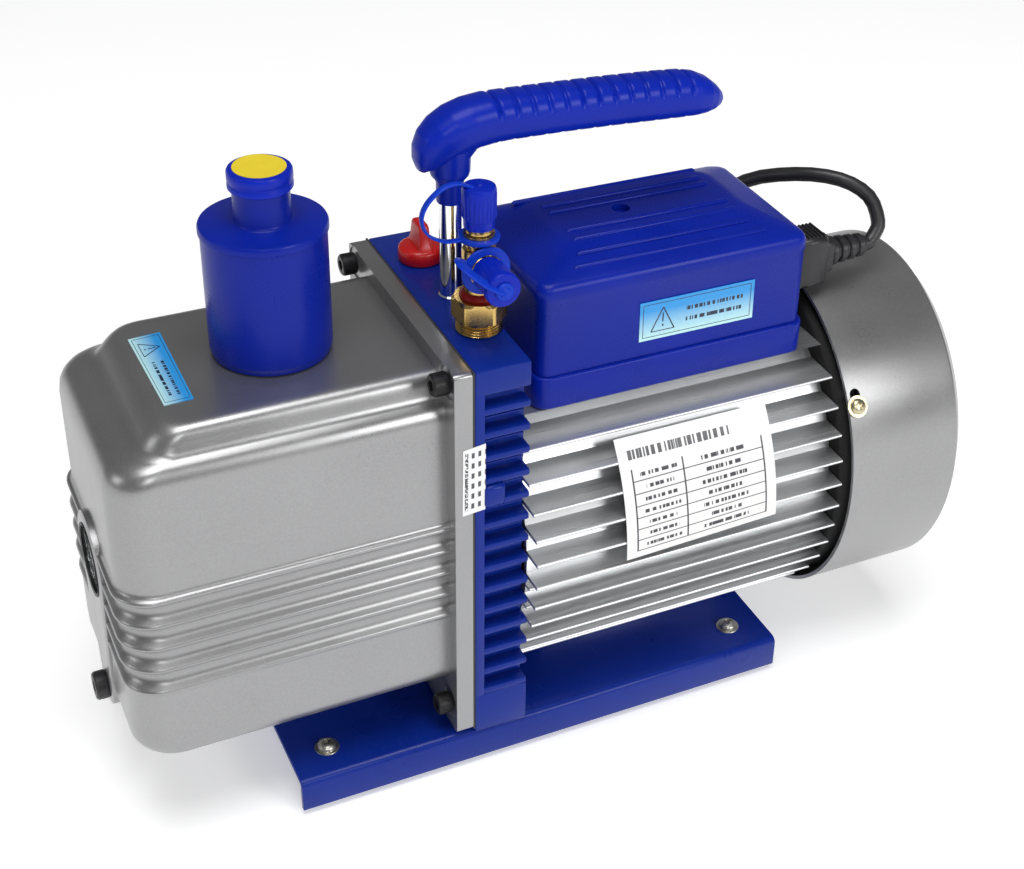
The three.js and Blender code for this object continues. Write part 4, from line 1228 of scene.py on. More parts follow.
def case_profile(ribs):
    """Rows of (height, side inset, front inset, corner radius) up the casting."""
    rows = [(CASE_LOW, 9, 14, 12), (CASE_LOW + 0.3, 7.2, 11.6, 12)]
    for i in range(1, 8):
        a = radians(90 * i / 8)
        rows.append((CASE_LOW + 11 - 10.7 * cos(a), 0.6 + 6.6 * (1 - sin(a)), 0.6 + 11 * (1 - sin(a)), 12 + 4 * sin(a)))
    rows += [(CASE_LOW + 14, 0.6, 0.6, 16), (RIB_FIRST - 2.4, 0.6, 0.6, 16), (RIB_FIRST - 1.6, 0.45, 0.45, 16)]
    for i in range(ribs):
        z = RIB_FIRST + i * RIB_PITCH
        rows += [(z - 0.9, 0.1, 0.1, 16), (z - 0.3, -0.15, -0.15, 16), (z + 0.4, -0.1, -0.1, 16), (z + 1, 0.4, 0.4, 16)]
        if i < ribs - 1:
            rows += [
                (z + 2.2, 1.7, 1.7, 15.2), (z + 3.4, 2.6, 2.6, 15), (z + 5.4, 3.1, 3.1, 14.8), (z + 7.6, 3.1, 3.1, 14.8),
                (z + 8.8, 2.5, 2.5, 15), (z + 9.5, 1.3, 1.3, 15.5),
            ]
    z = RIB_FIRST + (ribs - 1) * RIB_PITCH
    rows += [(z + 1.2, 0.9, 0.9, 16), (z + 2.2, 1.7, 1.7, 16), (z + 3.6, UPPER_STEP, UPPER_STEP, 16)]
    rows += [
        (CASE_TOP - 24, UPPER_STEP, UPPER_STEP, 16), (CASE_TOP - 19, 2.2, 2.7, 16), (CASE_TOP - 16, 2.9, 4, 16),
        (CASE_TOP - 13.6, 4.2, 6, 15.5), (CASE_TOP - 12, 5.6, 8.8, 15), (CASE_TOP - 11.1, 7, 12, 14.5),
        (CASE_TOP - 10.2, 8, 15.2, 14), (CASE_TOP - 8.6, 8.8, 17.6, 13), (CASE_TOP - 6, 9.5, 19.8, 12),
        (CASE_TOP - 3.6, 10.2, 22, 11.5), (CASE_TOP - 1.8, 11.2, 24, 11), (CASE_TOP - 0.6, 12.8, 26, 10.5),
        (CASE_TOP - 0.1, 14.6, 28, 10), (CASE_TOP, 17, 31, 9),
    ]
    return rows


class PUMP_OT_oil_case(PieceOperator):
    """Oil case casting, its flange, sight glass, drain plug, gasket and screws"""

    bl_idname = "pump.oil_case"
    bl_label = "Oil case"

    def execute(self, context):
        sizes = context.scene.pump_sizes
        silver = finish("case")
        rear = -FLANGE / 2
        rings = [
            [(x, y, z) for x, y in rounded_box(CASE_FRONT + front, rear, -CASE_HALF + side, CASE_HALF - side, r, 0.5, 10)]
            for z, side, front, r in case_profile(sizes.case_ribs)
        ]
        casting = new_object("casting", *skin(rings), silver, 60)
        flange_outline = rounded_box(-60.2, 60.2, 21.2, 203, 2, 2, 5)
        flange_rings = [[(x, y, z) for y, z in flange_outline] for x in (-FLANGE, 0)]
        flange = new_object("flange", *skin(flange_rings), silver)
        pads = []
        for y, z in SCREW_PLACES:
            pad = [(0, -9), (7, -9), (7, -FLANGE + 0.7), (0, -FLANGE + 0.7)]
            pads.append(turned("spotface", pad, None, (0, y, z), "X", 32))
        carve(flange, pads)
        soften(flange, 0.9, 3)
        recess = [(0, CASE_FRONT - 4), (15.6, CASE_FRONT - 4), (15.6, CASE_FRONT + 6), (0, CASE_FRONT + 6)]
        web_rings = []
        for x, grow in ((CASE_FRONT - 0.7, -0.9), (CASE_FRONT - 0.2, 0), (CASE_FRONT + 12, 0.4)):
            lower = arc(0, DRAIN_Z, 9.2 + grow, 180, 360, 16)
            upper = arc(0, SIGHT_Z, 20.4 + grow, 0, 180, 32)
            web_rings.append([(x, a, b) for a, b in lower + upper])
        web = new_object("web", *skin(web_rings), silver, 45)
        carve(web, [turned("sight_bore", recess, None, (0, 0, SIGHT_Z), "X", 64)], 45)
        inner = turned(
            "oil_seat",
            [(0, CASE_FRONT + 4.6), (15.9, CASE_FRONT + 4.6), (15.9, CASE_FRONT + 6.6), (0, CASE_FRONT + 6.6)],
            finish("oil"), (0, 0, SIGHT_Z), "X", 48,
        )
        bore = turned(
            "sight_bore_front",
            [(0, CASE_FRONT - 4), (15.6, CASE_FRONT - 4), (15.6, CASE_FRONT + 4.7), (0, CASE_FRONT + 4.7)],
            None, (0, 0, SIGHT_Z), "X", 64,
        )
        hollow = [[(x, y, z) for y, z in rounded_box(-47, 47, 53, 184, 8, 8, 5)] for x in (CASE_FRONT + 11, 2)]
        drain = [(0, CASE_FRONT - 4), (4.7, CASE_FRONT - 4), (4.7, CASE_FRONT + 14), (0, CASE_FRONT + 14)]
        drain_bores = [turned("drain_bore", drain, None, (0, 0, DRAIN_Z), "X", 32) for _ in range(2)]
        cavities = [new_object("cavity", *skin(hollow), None) for _ in range(2)]
        carve(web, [drain_bores[0]], 45)
        carve(casting, [bore, cavities[0], drain_bores[1]], 60)
        carve(flange, [cavities[1]], 50)
        case = merge("oil_case_casting", casting, flange, web, inner)
        deliver(case, "pump", "silver_paint", "oil_case")

        ring = turned(
            "sight_ring",
            [(14.2, CASE_FRONT - 0.9), (15.4, CASE_FRONT - 1.2), (15.6, CASE_FRONT + 0.6), (14.4, CASE_FRONT + 0.6)],
            finish("black_steel"), (0, 0, SIGHT_Z), "X", 64,
        )
        glass = turned(
            "sight_window",
            [(0, CASE_FRONT + 0.4), (14.6, CASE_FRONT + 0.4), (15.3, CASE_FRONT + 1), (15.3, CASE_FRONT + 4), (0, CASE_FRONT + 4)],
            finish("glass"), (0, 0, SIGHT_Z), "X", 64,
        )
        deliver(glass, "pump", "sight_glass", "sight_glass")
        deliver(ring, "pump", "silver_paint")

        plug = turned(
            "drain_plug_head",
            [(0, CASE_FRONT - 6.2), (5.4, CASE_FRONT - 6.2), (6.1, CASE_FRONT - 5.4), (6.2, CASE_FRONT - 1.6),
             (5.9, CASE_FRONT - 0.9), (4.6, CASE_FRONT - 0.9), (4.6, CASE_FRONT + 9), (0, CASE_FRONT + 9)],
            finish("black"), (0, 0, DRAIN_Z), "X", 48,
        )
        hexagon = turned("key", [(0, CASE_FRONT - 8), (3, CASE_FRONT - 8), (3, CASE_FRONT - 3), (0, CASE_FRONT - 3)],
                         None, (0, 0, DRAIN_Z), "X", 6)
        carve(plug, [hexagon])
        deliver(plug, "drain", "black_plastic", "drain_plug")

        paint_node("case_gasket", "gasket")
        self.screws()
        return {"FINISHED"}

    def screws(self):
        black = finish("black_steel")
        head = turned(
            "cap_head",
            [(0, -6.5), (4.1, -6.5), (4.7, -5.9), (4.7, -0.4), (4.5, 0), (0, 0)],
            black, (0, 0, 0), "X", 48,
        )
        socket = turned("key", [(0, -8), (2.5, -8), (2.5, -3), (0, -3)], None, (0, 0, 0), "X", 6)
        carve(head, [socket])
        knurl = at_origin(block("knurl", (-5.6, -1.2), (4.4, 4.82), (-0.13, 0.13), black, 0))
        turns = [(2 * pi * i / 36, 0, 0) for i in range(36)]
        knurls = copies_at("knurls", knurl, [(0, 0, 0)] * 36, black, turns)
        screw = at_origin(merge("cap_screw", head, knurls))
        places = [(-FLANGE - 0.1, y, z) for y, z in SCREW_PLACES]
        screws = copies_at("case_screws", screw, places, black)
        names = [f"case_screw_{a}_{b}" for a in ("upper", "lower") for b in ("left", "right")]
        deliver(screws, "pump", "dark_screw", *names)


SCREW_PLACES = [(-52.5, 196.5), (52.5, 196.5), (-52.5, 34), (52.5, 34)]


# ---------------------------------------------------------------- pump body
class PUMP_OT_body(PieceOperator):
    """Blue pump body with horizontal fins down its sides"""

    bl_idname = "pump.body"
    bl_label = "Pump body"

    def execute(self, context):
        sizes = context.scene.pump_sizes
        blue = finish("blue_paint")
        front, rear, half, low, top = 1.0, 25.0, 60.2, 18.9, 203.0
        fin_top, pitch, thick, plate = 185.1, 11.0, 3.2, 5.3
        depth = mm(sizes.body_fin_depth)
        last = fin_top - (sizes.body_fins - 1) * pitch
        core = block("core", (front + 1, rear - 0.2), (-half + depth, half - depth), (low + 2, top - 4), blue, 0.3)
        face = block("face", (front, plate), (-half + 0.1, half - 0.1), (low + 3, top - 7), blue, 0.5)
        lower = block("lower", (front, rear), (-half, half), (low, last - thick + 0.4), blue, 0.8)
        upper = block("upper", (front, rear), (-half, half), (fin_top + 6.4, top), blue, 1.1)
        seat = [(0, -1), (10.6, -1), (10.6, 11.4), (20.2, 11.4), (20.2, 27), (0, 27)]
        for piece in (core, face):
            carve(piece, [turned("shaft_bore", seat, None, (0, 0, SHAFT_Z), "X", 48)], 50)
        parts = [core, face, lower, upper]
        for side in (-1, 1):
            y = (side * (half - depth - 1), side * half)
            fin = block("fin", (plate - 1, rear), (min(y), max(y)), (last - thick, last), blue, 1.0)
            parts.append(row_of(f"fins_{side}", fin, sizes.body_fins, (0, 0, pitch), blue))
            y = (side * (half - depth - 1), side * (half - 4.6))
            rib = block("rib", (plate - 1, rear - 1), (min(y), max(y)), (last + 3.2, last + 4.4), blue, 0.4)
            parts.append(row_of(f"ribs_{side}", rib, sizes.body_fins - 1, (0, 0, pitch), blue))
            y = (side * (half - 6), side * (half + 1.6))
            parts.append(block("boss", (plate - 0.5, 13.9), (min(y), max(y)), (138.6, 148.6), blue, 1.6))
        holes = [
            turned("post_hole", [(0, 196), (4.8, 196), (4.8, 210), (0, 210)], None, (15.5, 0, 0), sides=32),
            turned("fill_hole", [(0, 193), (6.3, 193), (6.3, 210), (0, 210)], None, (15.5, 34, 0), sides=32),
        ]
        carve(upper, holes)
        body = merge("pump_block", *parts)
        deliver(body, "pump", "blue_paint", "pump_body")
        return {"FINISHED"}


# ---------------------------------------------------------------- caps, post and grip
class PUMP_OT_fill_cap(PieceOperator):
    """Red oil fill cap with a wing"""

    bl_idname = "pump.fill_cap"
    bl_label = "Oil fill cap"

    def execute(self, context):
        red = finish("red")
        low = 203.3
        profile = [
            (0, 193.6), (5.6, 193.6), (5.9, 194.2), (5.9, low), (9, low), (9.6, low + 0.6), (9.6, low + 5),
            (9.2, low + 6), (7.9, low + 6.7), (0, low + 6.8),
        ]
        disc = turned("disc", profile, red, (15.5, 34, 0), sides=64, sharp=50)
        rings = []
        for z, half_x, half_y, r in (
            (low + 6, 3.4, 8.6, 1.4), (low + 7.2, 2.9, 7.6, 1.3), (low + 9, 2.6, 6.6, 1.2), (low + 13, 2.4, 5.6, 1.2),
            (low + 16, 2.3, 5.1, 1.2), (low + 17.1, 2, 4.5, 1.1), (low + 17.5, 1.3, 3.6, 0.9),
        ):
            rings.append([(15.5 + x, 34 + y, z) for x, y in rounded_box(-half_x, half_x, -half_y, half_y, r, r, 4)])
        wing = new_object("wing", *skin(rings), red, 60)
        deliver(merge("fill_cap_piece", disc, wing), "fill_cap", "red_plastic", "oil_fill_cap")
        return {"FINISHED"}


GRIP_LINE = [
    (3.2, 261.6, 1.6, 3, 70), (4.4, 264.2, 4.4, 6.2, 63), (6.4, 267.6, 6.8, 8, 56), (9.2, 271.2, 8.4, 9.2, 47),
    (13, 274.2, 9.4, 10, 36), (18, 276.7, 9.9, 10.4, 24), (24, 278.4, 10, 10.5, 13), (31, 279.2, 9.9, 10.4, 5),
    (38, 279.3, 9.7, 10.3, 0), (60, 278.8, 9.6, 10.2, -1), (82, 278, 9.6, 10.2, -2), (104, 276.9, 9.6, 10.2, -3),
    (117, 276.1, 9.4, 10.1, -4), (123.5, 275.3, 8.8, 9.7, -4), (128.4, 274.2, 7.5, 8.6, -6), (132.4, 272.9, 5.6, 6.8, -8),
    (135.4, 271.9, 3.5, 4.5, -8), (137.1, 271.2, 1.6, 2.2, -8), (137.6, 271, 0.6, 0.9, -8),
]


class PUMP_OT_handle(PieceOperator):
    """Chrome post and grooved carrying grip"""

    bl_idname = "pump.handle"
    bl_label = "Carrying handle"

    def execute(self, context):
        sizes = context.scene.pump_sizes
        post_profile = [
            (0, 196.2), (4.6, 196.2), (4.6, 203), (5.2, 203.1), (5.2, 203.9), (4.6, 204.3),
            (4.6, 267.6), (0, 267.8),
        ]
        post = turned("grip_post", post_profile, finish("chrome"), (15.5, 0, 0))
        deliver(post, "pump", "chrome", "handle_post")

        blue = finish("grip")
        fine = []
        for a, b in zip(GRIP_LINE, GRIP_LINE[1:]):
            steps = max(1, round((b[0] - a[0]) / 0.5))
            fine += [tuple(u + (v - u) * i / steps for u, v in zip(a, b)) for i in range(steps)]
        fine.append(GRIP_LINE[-1])
        start, end = 30.0, 122.0
        pitch = (end - start) / sizes.grip_grooves
        groove = mm(sizes.groove_depth)
        rings = []
        for x, z, rise, half, lean in fine:
            depth = 0.0
            if start < x < end:
                phase = ((x - start) / pitch) % 1
                depth = groove * max(0.0, 1 - abs(phase - 0.5) / 0.17)
            ring = []
            for i in range(48):
                a = 2 * pi * i / 48
                up, across = sin(a), cos(a)
                reach_up = min(1.0, max(0.0, (up - 0.3) / 0.12))
                reach_down = min(1.0, max(0.0, (-up - 0.72) / 0.2)) * 0.7
                square = (abs(up) ** 2.5 + abs(across) ** 2.5) ** (-1 / 2.5)
                scale = square * (1 - depth * max(reach_up, reach_down) / rise)
                u = rise * up * scale
                tilt = radians(lean)
                ring.append((x - u * sin(tilt), half * across * scale, z + u * cos(tilt)))
            rings.append(ring)
        bar = new_object("bar", *skin(rings), blue, 70)
        neck_profile = [
            (4.7, 246), (5.4, 246), (5.6, 246.4), (5.6, 254.5), (6.2, 256), (7.7, 257.8), (8.2, 259.6), (8.4, 265), (8.8, 272),
            (4.7, 272),
        ]
        neck = turned("neck", neck_profile, blue, (15.5, 0, 0), sides=48, sharp=60)
        web_rings = []
        for z, x0, x1, half in (
            (257, 9.4, 21.4, 3.2), (261, 8.6, 22.6, 4.6), (265, 8, 24, 6.4), (269, 8, 27, 8), (274, 10, 32, 8.6),
        ):
            web_rings.append([(x, y, z) for x, y in rounded_box(x0, x1, -half, half, half * 0.95, half * 0.95, 6)])
        fillet = new_object("fillet", *skin(web_rings), blue, 70)
        grip = merge("carrying_grip", bar, neck, fillet)
        deliver(grip, "pump", "blue_plastic", "handle_grip")
        return {"FINISHED"}


# ---------------------------------------------------------------- brass inlet
INLET_X, INLET_Y, STUB_Z = 15.6, -29.5, 232.5


class PUMP_OT_inlet(PieceOperator):
    """Brass inlet fitting with its two capped stubs and their straps"""

    bl_idname = "pump.inlet"
    bl_label = "Inlet"

    def execute(self, context):
        brass = finish("brass")
        at = (INLET_X, INLET_Y, 0)
        thread = []
        for i in range(5):
            z = 203.4 + i * 1.15
            thread += [(8.9, z), (9.5, z + 0.45), (9.5, z + 0.65), (8.9, z + 1.1)]
        foot = turned("foot", [(0, 203.3)] + thread + [(8.9, 209.6), (0, 209.6)], brass, at)
        flats = 19.8 / 2 / cos(pi / 6)
        rings = []
        sides = 60
        for z, limit in ((208.9, 10), (209.6, 11.1), (210.1, flats), (216.6, flats), (217.3, 11.1), (218.4, 9.9)):
            ring = []
            for i in range(sides):
                a = 2 * pi * i / sides
                wedge = (a - radians(8.75) + pi / 6) % (pi / 3) - pi / 6
                r = min(9.9 / cos(wedge), limit)
                ring.append((INLET_X + r * cos(a), INLET_Y + r * sin(a), z))
            rings.append(ring)
        nut = new_object("nut", *skin(rings), brass, 30)
        column = turned(
            "column",
            [(0, 209), (7.6, 209), (7.6, 219), (7, 219.6), (6, 220.2), (5.9, 223), (6.6, 224), (6.9, 226), (6.9, 238.4),
             (6.5, 239.4), (5.2, 240), (5.2, 241.6), (6.2, 242), (6.2, 246), (5.1, 246.4), (4.9, 247.2), (5.2, 248), (5.2, 258),
             (5.6, 258.6), (5.6, 261), (4.8, 262), (3.2, 262), (3.2, 252), (0, 252)],
            brass, at,
        )
        stub = turned(
            "stub",
            [(0, 0), (6.6, 0), (6.6, 5.8), (6, 6.6), (5.2, 7), (5.2, 18), (5.6, 18.6), (4.8, 20), (3.2, 20), (3.2, 9), (0, 9)],
            brass, (INLET_X, INLET_Y, STUB_Z), "-Y",
        )
        sealant = turned(
            "sealant", [(5.6, 218.2), (7.7, 218.2), (7.9, 219), (7.4, 220.2), (6.4, 221), (5.6, 221)],
            finish("sealant"), at, sides=40,
        )
        fitting = merge("inlet_body", foot, nut, column, stub, sealant)
        deliver(fitting, "pump", "brass", "inlet_fitting")
        self.top_cap()
        self.side_cap()
        self.straps()
        return {"FINISHED"}

    def ribs(self, start, end, blue, at, axis, count=26):
        """Fine ribs round a cap: one from start to end, turned about an axis through a station."""
        rib = at_origin(rod_along("rib", [start, end], lambda t: circle(0.42, 6), blue))
        turns = [tuple(2 * pi * i / count * k for k in axis) for i in range(count)]
        return copies_at("cap_ribs", rib, [at] * count, blue, turns)

    def top_cap(self):
        blue = finish("cap_blue")
        low = 248.6
        profile = [
            (0, low + 14.6), (5.75, low + 14.6), (5.75, low), (6, low), (6.1, low + 0.4), (6.2, low + 3.6), (6.5, low + 4),
            (6.8, low + 15.8), (6.4, low + 17), (5.6, low + 17.4), (1.6, low + 17.4), (1.2, low + 18.2), (0, low + 18.3),
        ]
        shell = turned("shell", profile, blue, (INLET_X, INLET_Y, 0))
        ribs = self.ribs((6.45, 0, low + 4.6), (6.45, 0, low + 14.6), blue, (INLET_X, INLET_Y, 0), (0, 0, 1))
        deliver(merge("inlet_top_cap", shell, ribs), "top_cap", "blue_plastic", "inlet_cap_top")

    def side_cap(self):
        blue = finish("cap_blue")
        low, high = INLET_Y + 37.4, INLET_Y + 54.0
        profile = [
            (0, high - 3), (5.75, high - 3), (5.75, low), (6.4, low), (6.5, low + 0.4), (6.8, high - 3.4), (7.2, high - 3),
            (7.2, high - 0.8), (6.8, high - 0.2), (6, high), (0, high),
        ]
        at = (INLET_X, INLET_Y, STUB_Z)
        shell = turned("shell", profile, blue, at, "-Y")
        ribs = self.ribs((6.4, -low - 1, 0), (6.4, 3.8 - high, 0), blue, at, (0, 1, 0))
        deliver(merge("inlet_side_cap", shell, ribs), "side_cap", "blue_plastic", "inlet_cap_side")

    def straps(self):
        blue = finish("strap")
        x, y = INLET_X, INLET_Y

        def collar(name, z):
            return turned(name, [(5.9, z), (8, z), (8.2, z + 0.4), (8.2, z + 1.2), (8, z + 1.6), (5.9, z + 1.6)], blue,
                          (x, y, 0), sides=48)

        top = [
            (-7, -0.3, 244.2), (-14.5, -1, 245.2), (-21.6, -1.6, 249.6), (-24.3, -1.8, 256.4), (-22, -1.6, 262.6),
            (-15.6, -1, 267.6), (-9, -0.4, 268.4), (-4.6, 0, 266.2), (-3, 0, 265.8),
        ]
        path = smooth_path([(x + a, y + b, c) for a, b, c in top], 8)
        tongue = rod_along("tongue", path, lambda t: flat_bar(1.5, 0.55), blue)
        strap = merge("top_cap_strap", collar("collar", 243.4), tongue)
        place(x - 26, y, 246.5)
        place(x - 26, y, 264)
        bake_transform(strap)
        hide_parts("cap_strap_top")

        ring = turned("ring", [(6.9, 6.2), (9.8, 6.2), (10.1, 6.6), (10.1, 7.3), (9.8, 7.7), (6.9, 7.7)], blue, (x, y, STUB_Z),
                      "-Y", 48)
        button = turned("button", [(0, 24.6), (3.6, 24.6), (3.7, 25.4), (3.3, 25.9), (2.2, 26), (1.9, 26.6), (0, 26.7)], blue,
                        (x, y, STUB_Z), "-Y", 32)
        side = [(-7.6, -6.9, 5.2), (-10.6, -8.2, 7.2), (-12.6, -12, 8.4), (-12, -17, 7.6), (-8.6, -22.2, 5), (-4, -24.6, 2),
                (0, -25.1, 0)]
        path = smooth_path([(x + a, y + b, STUB_Z + c) for a, b, c in side], 8)
        tongue = rod_along("tongue", path, lambda t: flat_bar(2.5, 0.5), blue)
        strap = merge("side_cap_strap", ring, tongue, button)
        place(x, y - 8.5, STUB_Z)
        place(x, y - 22, STUB_Z)
        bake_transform(strap)
        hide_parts("cap_strap_side")


# ---------------------------------------------------------------- exhaust filter
CAN_X, CAN_LOW, CAN_TOP, NECK_TOP = -60.8, 196.3, 252.4, 269.0


class PUMP_OT_exhaust(PieceOperator):
    """Exhaust filter can and its dust cap"""

    bl_idname = "pump.exhaust"
    bl_label = "Exhaust filter"

    def execute(self, context):
        blue = finish("blue_plastic")
        at = (CAN_X, 0, 0)
        profile = [
            (6, CAN_LOW - 11.8), (9.2, CAN_LOW - 11.8), (9.2, CAN_LOW), (22.6, CAN_LOW), (23.4, CAN_LOW + 0.4),
            (23.6, CAN_LOW + 2.2), (24.1, CAN_LOW + 2.8), (24.2, CAN_LOW + 3.6), (24.2, CAN_TOP - 4), (24.9, CAN_TOP - 3.4),
            (24.9, CAN_TOP - 1.2), (24.5, CAN_TOP - 0.4), (23.6, CAN_TOP), (12.4, CAN_TOP), (11.5, CAN_TOP + 0.5),
            (11, CAN_TOP + 1.5), (11, NECK_TOP - 4.4), (11, NECK_TOP), (8.5, NECK_TOP), (8.5, CAN_TOP - 2),
            (22.4, CAN_TOP - 2), (22.4, CAN_LOW + 2.2), (6, CAN_LOW + 2.2),
        ]
        can = turned("exhaust_can", profile, blue, at, sides=96)
        deliver(can, "pump", "blue_plastic", "exhaust_filter_can")

        top = NECK_TOP + 5.3
        cap_profile = [
            (0, NECK_TOP + 0.4), (11.3, NECK_TOP + 0.4), (11.3, NECK_TOP - 2.6), (12.1, NECK_TOP - 2.6),
            (12.5, NECK_TOP - 2.2), (12.5, NECK_TOP - 0.6), (12.1, NECK_TOP), (12.1, NECK_TOP + 0.6), (12.5, NECK_TOP + 1.2),
            (12.5, top - 1.2), (12.1, top - 0.4), (11.4, top - 0.05), (0, top - 0.05),
        ]
        cap = turned("cap", cap_profile, finish("cap_blue"), at, sides=72)
        disc_rings = []
        for thick in (0.0, 0.25):
            disc_rings.append([])
            for i in range(64):
                a = 2 * pi * i / 64
                px, py = 10.2 * cos(a), 10.2 * sin(a)
                lift = 0.9 * max(0.0, (py * 0.8 - px * 0.2) / 10.2 - 0.35) ** 1.4
                disc_rings[-1].append((CAN_X + px, py, top - 0.03 + thick + lift))
        disc = new_object("yellow_disc", *skin(disc_rings), finish("yellow"), 60)
        deliver(merge("exhaust_dust_cap", cap, disc), "dust_cap", "blue_plastic", "exhaust_cap")
        return {"FINISHED"}


# ---------------------------------------------------------------- motor
MOTOR_FRONT, MOTOR_REAR = 25.6, 174.0
TIP_HALF, TIP_RISE, CORE_HALF, CORE_RISE, CORE_BORE = 68.0, 79.0, 57.0, 66.0, 54.0
FIN_PITCH = 11.6
COVER_FRONT, COVER_CREASE, COVER_REAR = 177.0, 233.4, 242.5
COVER_HALF, COVER_RISE = 72.0, 82.5


def oval_reach(z, half, rise):
    return half * sqrt(max(0.0, 1 - ((z - SHAFT_Z) / rise) ** 2))


class PUMP_OT_motor(PieceOperator):
    """Finned motor frame, end bell, fan cover and its screws"""

    bl_idname = "pump.motor"
    bl_label = "Motor"

    def execute(self, context):
        sizes = context.scene.pump_sizes
        metal = finish("aluminium")
        sides = 96
        core_rings = [
            [(x, half * cos(2 * pi * i / sides), SHAFT_Z + rise * sin(2 * pi * i / sides)) for i in range(sides)]
            for x, half, rise in (
                (MOTOR_FRONT, CORE_HALF, CORE_RISE), (MOTOR_REAR, CORE_HALF, CORE_RISE),
                (MOTOR_REAR, CORE_BORE, CORE_BORE), (MOTOR_FRONT, CORE_BORE, CORE_BORE),
            )
        ]
        core = new_object("core", *skin(core_rings, closed_path=True), metal, 60)
        box_low = station("terminal_box_base")[0].z - 0.3
        parts = [core]
        for i in range(sizes.motor_fins):
            z = SHAFT_Z + ((sizes.motor_fins - 1) / 2 - i) * FIN_PITCH
            reach = oval_reach(z, TIP_HALF, TIP_RISE)
            root = max(1.0, oval_reach(z, CORE_HALF - 1.5, CORE_RISE - 1.5))
            parts += [self.slat(z, side * reach, side * root, 1.15, 0.75, metal, box_low) for side in (-1, 1)]
            if z < SHAFT_Z and i < sizes.motor_fins - 1:
                low = z - FIN_PITCH / 2
                rib = oval_reach(low, CORE_HALF + 4, CORE_RISE + 4)
                root = max(1.0, oval_reach(low, CORE_HALF - 1.5, CORE_RISE - 1.5))
                parts += [self.slat(low, side * rib, side * root, 0.75, 0.55, metal, box_low) for side in (-1, 1)]
        parts.append(block("seat", (50, 156), (-22, 22), (157, box_low), metal, 0.6))
        parts.append(block("pedestal", (52, 148), (-17, 17), (18.9, 40), metal, 0.8))
        deliver(merge("motor_housing", *parts), "pump", "aluminium", "motor_frame")
        self.bell()
        self.cover(mm(sizes.cover_sheet))
        return {"FINISHED"}

    def slat(self, z, tip, root, thick_root, thick_tip, metal, ceiling):
        """One long fin, thicker at its root, with a rounded tip."""
        sign = 1 if tip > 0 else -1
        r = thick_tip
        turns = [radians(v) for v in (-90, -60, -30, 0, 30, 60, 90)]
        nose = [(tip - sign * r * (1 - cos(a)), z + r * sin(a)) for a in turns]
        outline = [(root, z - thick_root)] + nose + [(root, z + thick_root)]
        outline = [(y, min(h, ceiling)) for y, h in outline]
        rings = [[(x, y, h) for y, h in outline] for x in (MOTOR_FRONT, MOTOR_REAR)]
        return new_object("slat", *skin(rings), metal, 40)

    def bell(self):
        # The bell's finish is black paint darkened further as painted shade for the gap behind the fins.
        dark = finish("bell")
        rings = []
        for x, inset in ((174.4, 8), (175, 7), (178, 6), (184, 5)):
            rings.append([
                (x, (COVER_HALF - inset) * cos(2 * pi * i / 96), SHAFT_Z + (COVER_RISE - inset) * sin(2 * pi * i / 96))
                for i in range(96)
            ])
        bell = new_object("bell", *skin(rings), dark, 50)
        seat = [(0, 170), (10.6, 170), (10.6, 178.3), (20.2, 178.3), (20.2, 192), (0, 192)]
        carve(bell, [turned("shaft_bore", seat, None, (0, 0, SHAFT_Z), "X", 48)], 50)
        hub = turned("hub", [(20.2, 183), (25, 183), (25, 189.5), (24, 190.4), (20.2, 190.4)], dark, (0, 0, SHAFT_Z), "X")
        deliver(merge("motor_end_bell", bell, hub), "pump", "black_paint", "rear_end_bell")

    def cover(self, sheet):
        silver = finish("silver")
        sides = 128

        def ring(x, half, rise):
            return [(x, half * cos(2 * pi * i / sides), SHAFT_Z + rise * sin(2 * pi * i / sides)) for i in range(sides)]

        def profile(inset):
            h, r = COVER_HALF - inset, COVER_RISE - inset
            rows = [(COVER_FRONT, h, r), (COVER_FRONT + 3, h, r), (COVER_CREASE - 1.4, h, r)]
            for angle in (20, 45, 65):
                a = radians(angle)
                rows.append((COVER_CREASE - 1.4 + 1.6 * sin(a), h - 1.6 * (1 - cos(a)), r - 1.6 * (1 - cos(a))))
            back = COVER_REAR - inset
            shoulder = COVER_CREASE + 0.62 * (back - COVER_CREASE)
            rows += [(shoulder, h - 7.5, r - 7.5), (shoulder + 0.6, h - 9.6, r - 9.6)]
            for share, k in ((0.35, 0.72), (0.68, 0.5), (0.88, 0.3), (0.97, 0.14), (1.0, 0.02)):
                rows.append((shoulder + 0.6 + (back - shoulder - 0.6) * share, h * k, r * k))
            return rows

        outer = [ring(*row) for row in profile(0)]
        inner = [ring(*row) for row in profile(sheet)]
        vertices = [p for r in list(reversed(inner)) + outer for p in r]
        rings = list(reversed(inner)) + outer
        faces = []
        for i in range(len(rings) - 1):
            a, b = i * sides, (i + 1) * sides
            faces += [(a + j, a + (j + 1) % sides, b + (j + 1) % sides, b + j) for j in range(sides)]
        faces.append(tuple(range(sides)))
        faces.append(tuple(reversed(range((len(rings) - 1) * sides, len(rings) * sides))))
        shell = new_object("fan_cover_shell", vertices, faces, silver, 50)
        cutters = []
        count, pitch, half_slot = 9, 12.0, 2.5
        for i in range(count):
            z = SHAFT_Z + (i - (count - 1) / 2) * pitch
            reach = oval_reach(z, 52, 62)
            for side in (-1, 1):
                y0, y1 = sorted((side * 4.0, side * reach))
                outline = arc(y1 - half_slot, z, half_slot, -90, 90, 6) + arc(y0 + half_slot, z, half_slot, 90, 270, 6)
                rings = [[(x, y, h) for y, h in outline] for x in (220, 248)]
                cutters.append(new_object("slot", *skin(rings), None))
        for side in (-1, 1):
            cutters.append(self.slot_cutter(side))
        joined = merge("slots", *cutters)
        carve(shell, [joined], 50)
        deliver(shell, "pump", "silver_paint", "fan_cover")
        self.cover_screws()

